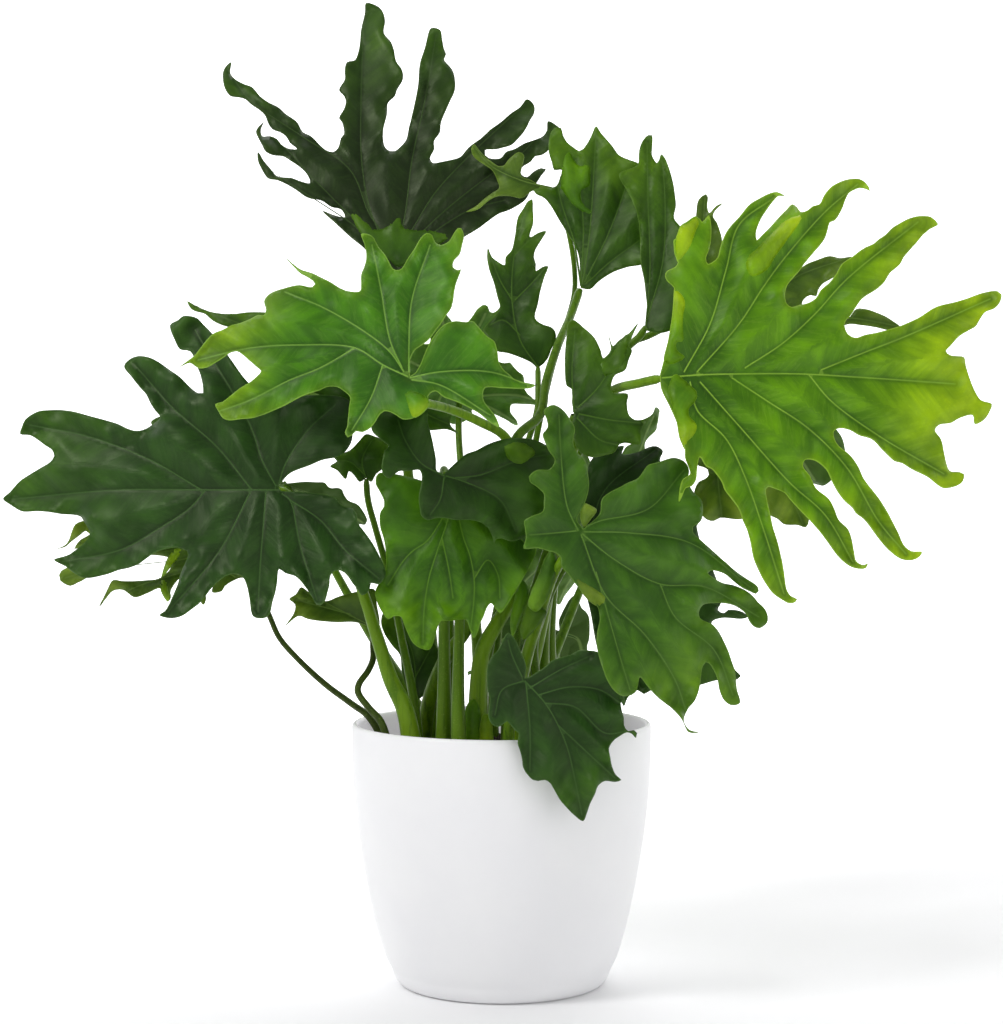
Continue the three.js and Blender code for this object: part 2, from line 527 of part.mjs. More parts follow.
function distanceToSegment(p, a, b) {
  const [dx, dy] = [b[0] - a[0], b[1] - a[1]];
  const length = Math.max(dx * dx + dy * dy, 1e-9);
  const t = THREE.MathUtils.clamp(((p[0] - a[0]) * dx + (p[1] - a[1]) * dy) / length, 0, 1);
  return Math.hypot(p[0] - a[0] - t * dx, p[1] - a[1] - t * dy);
}

function distanceToLines(p, lines, closed = false) {
  let nearest = Infinity;
  for (const line of lines) {
    const last = closed ? line.length : line.length - 1;
    for (let i = 0; i < last; i += 1) {
      nearest = Math.min(nearest, distanceToSegment(p, line[i], line[(i + 1) % line.length]));
    }
  }
  return nearest;
}

// Leaves out outline points that lie within a tolerance of the line between their neighbours
function thinOut(points, tolerance) {
  if (points.length < 3) return points;
  const [first, last] = [points[0], points[points.length - 1]];
  let [far, farthest] = [0, 0];
  for (let i = 1; i < points.length - 1; i += 1) {
    const away = distanceToSegment(points[i], first, last);
    if (away > farthest) [far, farthest] = [i, away];
  }
  if (farthest < tolerance) return [first, last];
  const before = thinOut(points.slice(0, far + 1), tolerance);
  const after = thinOut(points.slice(far), tolerance);
  return [...before.slice(0, -1), ...after];
}

function isInside(p, outline) {
  let inside = false;
  outline.forEach((a, i) => {
    const b = outline[(i + 1) % outline.length];
    const crosses = a[1] > p[1] !== b[1] > p[1];
    if (crosses && p[0] < ((b[0] - a[0]) * (p[1] - a[1])) / (b[1] - a[1]) + a[0]) inside = !inside;
  });
  return inside;
}

function turnOf(a, b, c) {
  return (b[0] - a[0]) * (c[1] - a[1]) - (b[1] - a[1]) * (c[0] - a[0]);
}

function isInCircle(a, b, c, p) {
  const [ax, ay] = [a[0] - p[0], a[1] - p[1]];
  const [bx, by] = [b[0] - p[0], b[1] - p[1]];
  const [cx, cy] = [c[0] - p[0], c[1] - p[1]];
  return (ax * ax + ay * ay) * (bx * cy - cx * by) - (bx * bx + by * by) * (ax * cy - cx * ay)
    + (cx * cx + cy * cy) * (ax * by - bx * ay) > 1e-6;
}

// Splits a flat outline into well-shaped triangles that also use the given inner points
function triangulate(outline, inner) {
  const points = outline.map(([u, v]) => [u, -v]);
  const contour = points.map((p) => new THREE.Vector2(...p));
  const triangles = THREE.ShapeUtils.triangulateShape(contour, [])
    .map(([a, b, c]) => (turnOf(points[a], points[b], points[c]) > 0 ? [a, b, c] : [a, c, b]));
  for (const [u, v] of inner) {
    const p = [u, -v];
    const home = triangles.findIndex(([a, b, c]) => turnOf(points[a], points[b], p) > 0.5
      && turnOf(points[b], points[c], p) > 0.5 && turnOf(points[c], points[a], p) > 0.5);
    if (home >= 0) {
      const [a, b, c] = triangles[home];
      const n = points.push(p) - 1;
      triangles.splice(home, 1, [a, b, n], [b, c, n], [c, a, n]);
      flipEdges(points, triangles);
    }
  }
  flipEdges(points, triangles);
  return { points: points.map(([x, y]) => [x, -y]), triangles };
}

function flipEdges(points, triangles) {
  let flipped = true;
  for (let pass = 0; flipped && pass < 60; pass += 1) {
    flipped = false;
    const owner = new Map();
    triangles.forEach((t, i) => t.forEach((a, k) => owner.set(`${a},${t[(k + 1) % 3]}`, i)));
    const touched = new Set();
    for (const [edge, i] of owner) {
      const [a, b] = edge.split(',').map(Number);
      const j = owner.get(`${b},${a}`);
      if (j === undefined || touched.has(i) || touched.has(j)) continue;
      const c = triangles[i].find((k) => k !== a && k !== b);
      const d = triangles[j].find((k) => k !== a && k !== b);
      const [pa, pb, pc, pd] = [points[a], points[b], points[c], points[d]];
      if (turnOf(pc, pd, pb) <= 1e-6 || turnOf(pd, pc, pa) <= 1e-6 || !isInCircle(pa, pb, pc, pd)) continue;
      triangles[i] = [c, d, b];
      triangles[j] = [d, c, a];
      touched.add(i).add(j);
      flipped = true;
    }
  }
}

function innerPoints(outline, veins) {
  const onVeins = [];
  for (const vein of veins) {
    for (let i = 0; i + 1 < vein.length; i += 1) {
      const [a, b] = [vein[i], vein[i + 1]];
      const count = Math.max(1, Math.round(Math.hypot(b[0] - a[0], b[1] - a[1]) / blade.veinStep));
      for (let k = 0; k < count; k += 1) {
        onVeins.push([a[0] + ((b[0] - a[0]) * k) / count, a[1] + ((b[1] - a[1]) * k) / count]);
      }
    }
  }
  const clear = (p, gap, others, apart) => isInside(p, outline) && distanceToLines(p, [outline], true) > gap
    && others.every((q) => Math.hypot(p[0] - q[0], p[1] - q[1]) > apart);
  const kept = [];
  for (const p of onVeins) {
    if (clear(p, 3.5, kept, 9)) kept.push(p);
  }
  const us = outline.map((p) => p[0]);
  const vs = outline.map((p) => p[1]);
  const rowStep = blade.gridStep * 0.87;
  for (let v = Math.min(...vs), row = 0; v < Math.max(...vs); v += rowStep, row += 1) {
    const start = Math.min(...us) + (row % 2) * 0.5 * blade.gridStep;
    for (let u = start; u < Math.max(...us); u += blade.gridStep) {
      if (clear([u, v], 8, kept, 0.5 * blade.gridStep)) kept.push([u, v]);
    }
  }
  return kept;
}

// How far a blade's face lies behind the pot's axis at a picture position
function depthOf(leaf, u, v) {
  const mm = scaleAt(leaf.depth);
  const [x, z] = [(u - leaf.joint[0]) * mm, (leaf.joint[1] - v) * mm];
  const tip = leaf.veins[0][leaf.veins[0].length - 1];
  const midrib = new THREE.Vector2(tip[0] - leaf.joint[0], leaf.joint[1] - tip[1]).normalize();
  const across = x * midrib.y - z * midrib.x;
  const reach = Math.hypot(x, z);
  const fromVein = distanceToLines([u, v], leaf.veins) * mm;
  const [height, phase] = leaf.wave;
  return leaf.depth + leaf.lean[0] * x + leaf.lean[1] * z + leaf.arch * (reach / 100) ** 2
    - leaf.cup * Math.min(1, Math.abs(across) / 100) ** 1.5
    + height * Math.sin(x / 17 + phase) * Math.cos(z / 19 + 1.7 * phase) * Math.min(1, reach / 50)
    - blade.bulge * (1 - Math.exp(-((fromVein / blade.bulgeWidth) ** 2)));
}

// The blade's upper face: points, outward normals, triangles and the thickness at each point
function leafFace(leaf) {
  const outline = thinOut([...leaf.outline, leaf.outline[0]], blade.thin).slice(0, -1);
  const flat = triangulate(outline, innerPoints(outline, leaf.veins));
  const mm = scaleAt(leaf.depth);
  const points = flat.points.map(([u, v]) => inSpace(u, v, depthOf(leaf, u, v)));
  const joint = inSpace(...leaf.joint, leaf.depth);
  const reach = Math.max(...points.map((p) => p.distanceTo(joint)));
  const thickness = flat.points.map(([u, v], i) => {
    const fromVein = distanceToLines([u, v], leaf.veins) * mm;
    const fade = Math.max(0, 1 - points[i].distanceTo(joint) / reach);
    return blade.thickness + blade.rib * fade * Math.exp(-((fromVein / blade.ribWidth) ** 2));
  });
  return { points, triangles: flat.triangles, thickness };
}

function normalsOf({ points, triangles }) {
  const normals = points.map(() => new THREE.Vector3());
  for (const [a, b, c] of triangles) {
    const normal = points[b].clone().sub(points[a]).cross(points[c].clone().sub(points[a]));
    for (const i of [a, b, c]) normals[i].add(normal);
  }
  return normals.map((n) => n.normalize());
}

// A closed solid between two offsets of a face, along its normals
function thicken(face, below, above) {
  const normals = normalsOf(face);
  const used = [...new Set(face.triangles.flat())];
  const place = new Map(used.map((i, k) => [i, k]));
  const count = used.length;
  const vertices = [];
  for (const i of used) vertices.push(...face.points[i].clone().addScaledVector(normals[i], above));
  for (const i of used) vertices.push(...face.points[i].clone().addScaledVector(normals[i], -below(i)));
  const top = face.triangles.map((t) => t.map((i) => place.get(i)));
  const edges = new Set(top.flatMap(([a, b, c]) => [`${a},${b}`, `${b},${c}`, `${c},${a}`]));
  const indices = [...top.flat(), ...top.flatMap(([a, b, c]) => [a + count, c + count, b + count])];
  for (const edge of edges) {
    const [a, b] = edge.split(',').map(Number);
    if (!edges.has(`${b},${a}`)) indices.push(b, a, a + count, b, a + count, b + count);
  }
  const geometry = new THREE.BufferGeometry();
  geometry.setAttribute('position', new THREE.Float32BufferAttribute(vertices, 3));
  geometry.setIndex(indices);
  return geometry;
}

function toSolid(geometry) {
  const bare = geometry.clone();
  bare.deleteAttribute('normal');
  bare.deleteAttribute('uv');
  const merged = mergeVertices(bare, 1e-4);
  const triVerts = new Uint32Array(merged.index.array);
  const mesh = new wasm.Mesh({ numProp: 3, vertProperties: merged.attributes.position.array, triVerts });
  return new wasm.Manifold(mesh);
}

function toGeometry(solid) {
  const { vertProperties, triVerts } = solid.getMesh();
  const geometry = new THREE.BufferGeometry();
  geometry.setAttribute('position', new THREE.BufferAttribute(vertProperties, 3));
  geometry.setIndex(new THREE.BufferAttribute(triVerts, 1));
  return geometry;
}

// A closed round tube whose radius tapers along its path
function taperedTube(path, radiusAt, steps, sides) {
  const curve = new THREE.CatmullRomCurve3(path, false, 'centripetal');
  const { normals, binormals } = curve.computeFrenetFrames(steps, false);
  const vertices = [];
  for (let i = 0; i <= steps; i += 1) {
    const centre = curve.getPointAt(i / steps);
    for (let k = 0; k < sides; k += 1) {
      const angle = (2 * Math.PI * k) / sides;
      const radius = radiusAt(i / steps);
      vertices.push(...centre.clone()
        .addScaledVector(normals[i], radius * Math.cos(angle))
        .addScaledVector(binormals[i], radius * Math.sin(angle)));
    }
  }
  const indices = [];
  for (let i = 0; i < steps; i += 1) {
    for (let k = 0; k < sides; k += 1) {
      const [a, b] = [i * sides + k, i * sides + ((k + 1) % sides)];
      indices.push(a, b, b + sides, a, b + sides, a + sides);
    }
  }
  const end = steps * sides;
  for (let k = 1; k + 1 < sides; k += 1) indices.push(0, k + 1, k, end, end + k, end + k + 1);
  const geometry = new THREE.BufferGeometry();
  geometry.setAttribute('position', new THREE.Float32BufferAttribute(vertices, 3));
  geometry.setIndex(indices);
  return geometry;
}

function largestPart(solid) {
  return solid.decompose().reduce((best, piece) => (piece.volume() > best.volume() ? piece : best));
}

// The part of a face near a joint, widened a little past its edge
function facePatch(face, joint) {
  const isNear = (i) => face.points[i].distanceTo(joint) < stalk.patch;
  const triangles = face.triangles.filter((t) => t.some(isNear));
  const normals = normalsOf({ points: face.points, triangles });
  const edges = new Set(triangles.flatMap(([a, b, c]) => [`${a},${b}`, `${b},${c}`, `${c},${a}`]));
  const outward = face.points.map(() => new THREE.Vector3());
  for (const edge of edges) {
    const [a, b] = edge.split(',').map(Number);
    if (edges.has(`${b},${a}`)) continue;
    const along = face.points[b].clone().sub(face.points[a]).normalize();
    for (const i of [a, b]) outward[i].add(along.clone().cross(normals[i]));
  }
  const points = face.points.map((p, i) => p.clone().addScaledVector(outward[i].normalize(), stalk.edgeGap));
  return { points, triangles };
}

// A petiole from its root in the soil to the back of its blade, cut to fit the blade's underside
function petioleSolids(foot, way, joint, radii, face) {
  const base = new THREE.Vector3(foot[0], foot[1], soil.top - stalk.rooted);
  const collar = new THREE.Vector3(foot[0], foot[1], soil.top + stalk.collar);
  const last = way[way.length - 1];
  const end = joint.clone().addScaledVector(joint.clone().sub(last).normalize(), stalk.overshoot);
  const path = [base, collar, ...way, end];
  const radiusAt = (grow) => (t) => radii[1] + (radii[0] - radii[1]) * (1 - t) ** 2.2 + grow;
  const tube = toSolid(taperedTube(path, radiusAt(0), stalk.steps, stalk.sides));
  const socket = toSolid(taperedTube([base.clone().setZ(base.z - stalk.holeGap), ...path.slice(1)],
    radiusAt(stalk.holeGap), stalk.steps, stalk.sides));
  const seatAt = (i) => face.thickness[i] + stalk.seat;
  const cutter = toSolid(thicken(facePatch(face, joint), seatAt, stalk.patchRise));
  return { petiole: largestPart(tube.subtract(cutter)), socket };
}

function makeMesh(name, geometry, colour, roughness, origin = new THREE.Vector3()) {
  const placed = geometry.clone().translate(-origin.x, -origin.y, -origin.z);
  placed.computeVertexNormals();
  const finish = new THREE.MeshStandardMaterial({ color: colour, roughness, metalness: 0 });
  const mesh = new THREE.Mesh(placed, finish);
  mesh.name = name;
  mesh.position.copy(origin);
  return mesh;
}

function latheSolid(profile, sides) {
  const geometry = new THREE.LatheGeometry(profile.map(([r, z]) => new THREE.Vector2(r, z)), sides);
  return geometry.rotateX(Math.PI / 2);
}

function insideRadius(z) {
  const next = potOutside.findIndex(([, height]) => height >= z);
  if (next <= 0) return potOutside[next < 0 ? potOutside.length - 1 : 0][0] - pot.wall;
  const [[r0, z0], [r1, z1]] = [potOutside[next - 1], potOutside[next]];
  return r0 + ((r1 - r0) * (z - z0)) / (z1 - z0) - pot.wall;
}

function makePot() {
  const middle = pot.rimRadius - 0.5 * pot.wall;
  const overLip = lip.angles.map((angle) => THREE.MathUtils.degToRad(180 - angle))
    .map((a) => [middle + 0.5 * pot.wall * Math.cos(a), lip.height + lip.rise * Math.sin(a)]);
  const inside = [186, ...pot.insideHeights, pot.floor].map((z) => [insideRadius(z), z]);
  const profile = [[0, 0], ...potOutside, ...overLip, ...inside, [0, pot.floor]];
  return latheSolid(profile, pot.sides);
}

// Soil that fills the pot: a low mound with crumbs, and one plain hole for each petiole
function makeSoil(sockets) {
  const top = [1, 0.8, 0.58, 0.32].map((share) => {
    const radius = (insideRadius(pot.insideHeights[0]) - soil.clearance) * share;
    return [radius, share === 1 ? pot.insideHeights[0] : soil.top + soil.mound * (1 - share * share)];
  });
  const heights = [soil.bottom, ...pot.insideHeights.slice(1).reverse()];
  const sides = heights.map((z) => [insideRadius(z) - soil.clearance, z]);
  const geometry = latheSolid([[0, soil.bottom], ...sides, ...top, [0, soil.top + soil.mound]], pot.sides);
  const position = geometry.attributes.position;
  for (let i = 0; i < position.count; i += 1) {
    const [x, y, z] = [position.getX(i), position.getY(i), position.getZ(i)];
    if (z > soil.top) position.setZ(i, z + soil.crumb * Math.sin(x * 0.31 + 1) * Math.cos(y * 0.27));
  }
  return toSolid(geometry).subtract(wasm.Manifold.union(sockets));
}

const plant = new THREE.Group();
const sockets = [];
const faces = new Map();

function addLeaf(name, face, joint, attach, foot, way, radii, colour) {
  const leafGroup = new THREE.Group();
  leafGroup.position.copy(joint);
  const geometry = thicken(face, (i) => face.thickness[i], 0).translate(-joint.x, -joint.y, -joint.z);
  leafGroup.add(makeMesh(`${name}_blade`, geometry, colours[colour], 0.42));
  plant.add(leafGroup);
  const { petiole, socket } = petioleSolids(foot, way, attach, radii, face);
  const stalkColour = radii[0] < 4 ? colours.darkStalk : colours.petiole;
  plant.add(makeMesh(`${name}_petiole`, toGeometry(petiole), stalkColour, 0.5));
  sockets.push(socket);
}

for (const leaf of leaves) {
  leaf.outline = readPoints(leaf.outline);
  leaf.veins = leaf.veins.map(readPoints);
  const face = leafFace(leaf);
  const joint = inSpace(...leaf.joint, leaf.depth);
  const [u, v] = leaf.attach ?? leaf.joint;
  const attach = inSpace(u, v, depthOf(leaf, u, v));
  faces.set(leaf.name, { face, joint, leaf });
  const way = leaf.via.map((p) => inSpace(...p)).reverse();
  addLeaf(leaf.name, face, joint, attach, leaf.foot, way, leaf.radii, leaf.colour);
}

for (const far of farLeaves) {
  const { face, joint, leaf } = faces.get(far.like);
  const turned = new THREE.Matrix4().makeRotationZ(THREE.MathUtils.degToRad(far.turn))
    .multiply(new THREE.Matrix4().makeRotationX(THREE.MathUtils.degToRad(far.tip)))
    .scale(new THREE.Vector3(far.mirrored ? -far.size : far.size, far.size, far.size));
  const at = new THREE.Vector3(...far.at);
  const points = face.points.map((p) => p.clone().sub(joint).applyMatrix4(turned).add(at));
  const triangles = far.mirrored ? face.triangles.map(([a, b, c]) => [a, c, b]) : face.triangles;
  const way = far.way.map((p) => new THREE.Vector3(...p)).reverse();
  const radii = leaf.radii.map((r) => r * 0.85);
  const turnedFace = { points, triangles, thickness: face.thickness };
  addLeaf(far.name, turnedFace, at, at, far.foot, way, radii, leaf.colour);
}

plant.add(makeMesh('pot', makePot(), colours.pot, 0.5));
plant.add(makeMesh('soil', toGeometry(makeSoil(sockets)), colours.soil, 0.95));

export default plant;
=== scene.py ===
# A potted split-leaf philodendron: white pot, soil, long petioles and lobed glossy leaves.
# Picture positions are pixels of a 1003 x 1024 view from the front, and depths are millimetres behind
# the pot's axis.
import math
import bpy
import numpy as np
from mathutils import Matrix, Vector
from mathutils.geometry import delaunay_2d_cdt


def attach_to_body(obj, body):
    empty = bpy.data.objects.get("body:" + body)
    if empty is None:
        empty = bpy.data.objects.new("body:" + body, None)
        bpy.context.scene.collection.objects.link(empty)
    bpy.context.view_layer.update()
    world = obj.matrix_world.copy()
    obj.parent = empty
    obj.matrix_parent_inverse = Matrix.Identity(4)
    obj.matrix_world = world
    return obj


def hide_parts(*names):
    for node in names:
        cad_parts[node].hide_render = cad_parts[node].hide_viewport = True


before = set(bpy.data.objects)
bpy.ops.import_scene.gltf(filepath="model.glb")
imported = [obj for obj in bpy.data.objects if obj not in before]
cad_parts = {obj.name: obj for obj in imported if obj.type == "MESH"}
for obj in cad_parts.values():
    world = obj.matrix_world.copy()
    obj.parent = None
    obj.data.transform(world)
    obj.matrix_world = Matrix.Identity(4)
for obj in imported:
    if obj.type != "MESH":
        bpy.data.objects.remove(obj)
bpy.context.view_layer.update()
print("frame loaded:", len(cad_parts), "nodes")

mm = 0.001
# Where the picture is seen from, in millimetres, and its focal length and size in pixels
view = {
    "distance": 1700, "height": 395, "tiltDegrees": 1.65, "focalLength": 2318, "centre": (501.5, 512),
    "longSide": 1024, "sensor": 36,
}
tilt = math.radians(view["tiltDegrees"])


def inSpace(u, v, depth):
    forward = np.array([0, math.cos(tilt), -math.sin(tilt)])
    upward = np.array([0, math.sin(tilt), math.cos(tilt)])
    across = (np.asarray(u, float) - view["centre"][0]) / view["focalLength"]
    rise = (view["centre"][1] - np.asarray(v, float)) / view["focalLength"]
    ray = forward + np.multiply.outer(across, [1, 0, 0]) + np.multiply.outer(rise, upward)
    reach = (np.asarray(depth, float) + view["distance"]) / ray[..., 1]
    return np.array([0, -view["distance"], view["height"]]) + ray * reach[..., None]


def readPoints(text):
    return np.array([[float(n) for n in pair.split(",")] for pair in text.split()])


def linear(red, green, blue):
    steps = [c / 255 for c in (red, green, blue)]
    return tuple(c / 12.92 if c <= 0.04045 else ((c + 0.055) / 1.055) ** 2.4 for c in steps) + (1.0,)


# Leaf colours from the joint outwards, and the ribs
leafTones = {
    "deep": {"core": (20, 37, 10), "mid": (24, 44, 11), "tip": (50, 82, 16), "rib": (52, 76, 32)},
    "dark": {"core": (26, 56, 16), "mid": (31, 64, 17), "tip": (48, 84, 16), "rib": (58, 90, 40)},
    "night": {"core": (24, 54, 8), "mid": (30, 63, 7), "tip": (46, 84, 8), "rib": (50, 82, 28)},
    "middle": {"core": (36, 72, 6), "mid": (48, 84, 7), "tip": (78, 116, 12), "rib": (70, 104, 32)},
    "fresh": {"core": (48, 88, 18), "mid": (58, 100, 20), "tip": (86, 126, 20), "rib": (84, 120, 44)},
    "vivid": {"core": (64, 110, 6), "mid": (56, 102, 4), "tip": (88, 134, 6), "rib": (88, 130, 34)},
    "olive": {"core": (66, 94, 22), "mid": (74, 102, 28), "tip": (106, 132, 34), "rib": (94, 122, 50)},
    "lush": {"core": (50, 102, 16), "mid": (62, 116, 14), "tip": (122, 156, 12), "rib": (118, 160, 62)},
    "bright": {"core": (58, 104, 3), "mid": (84, 134, 2), "tip": (140, 172, 10), "rib": (134, 174, 56)},
}

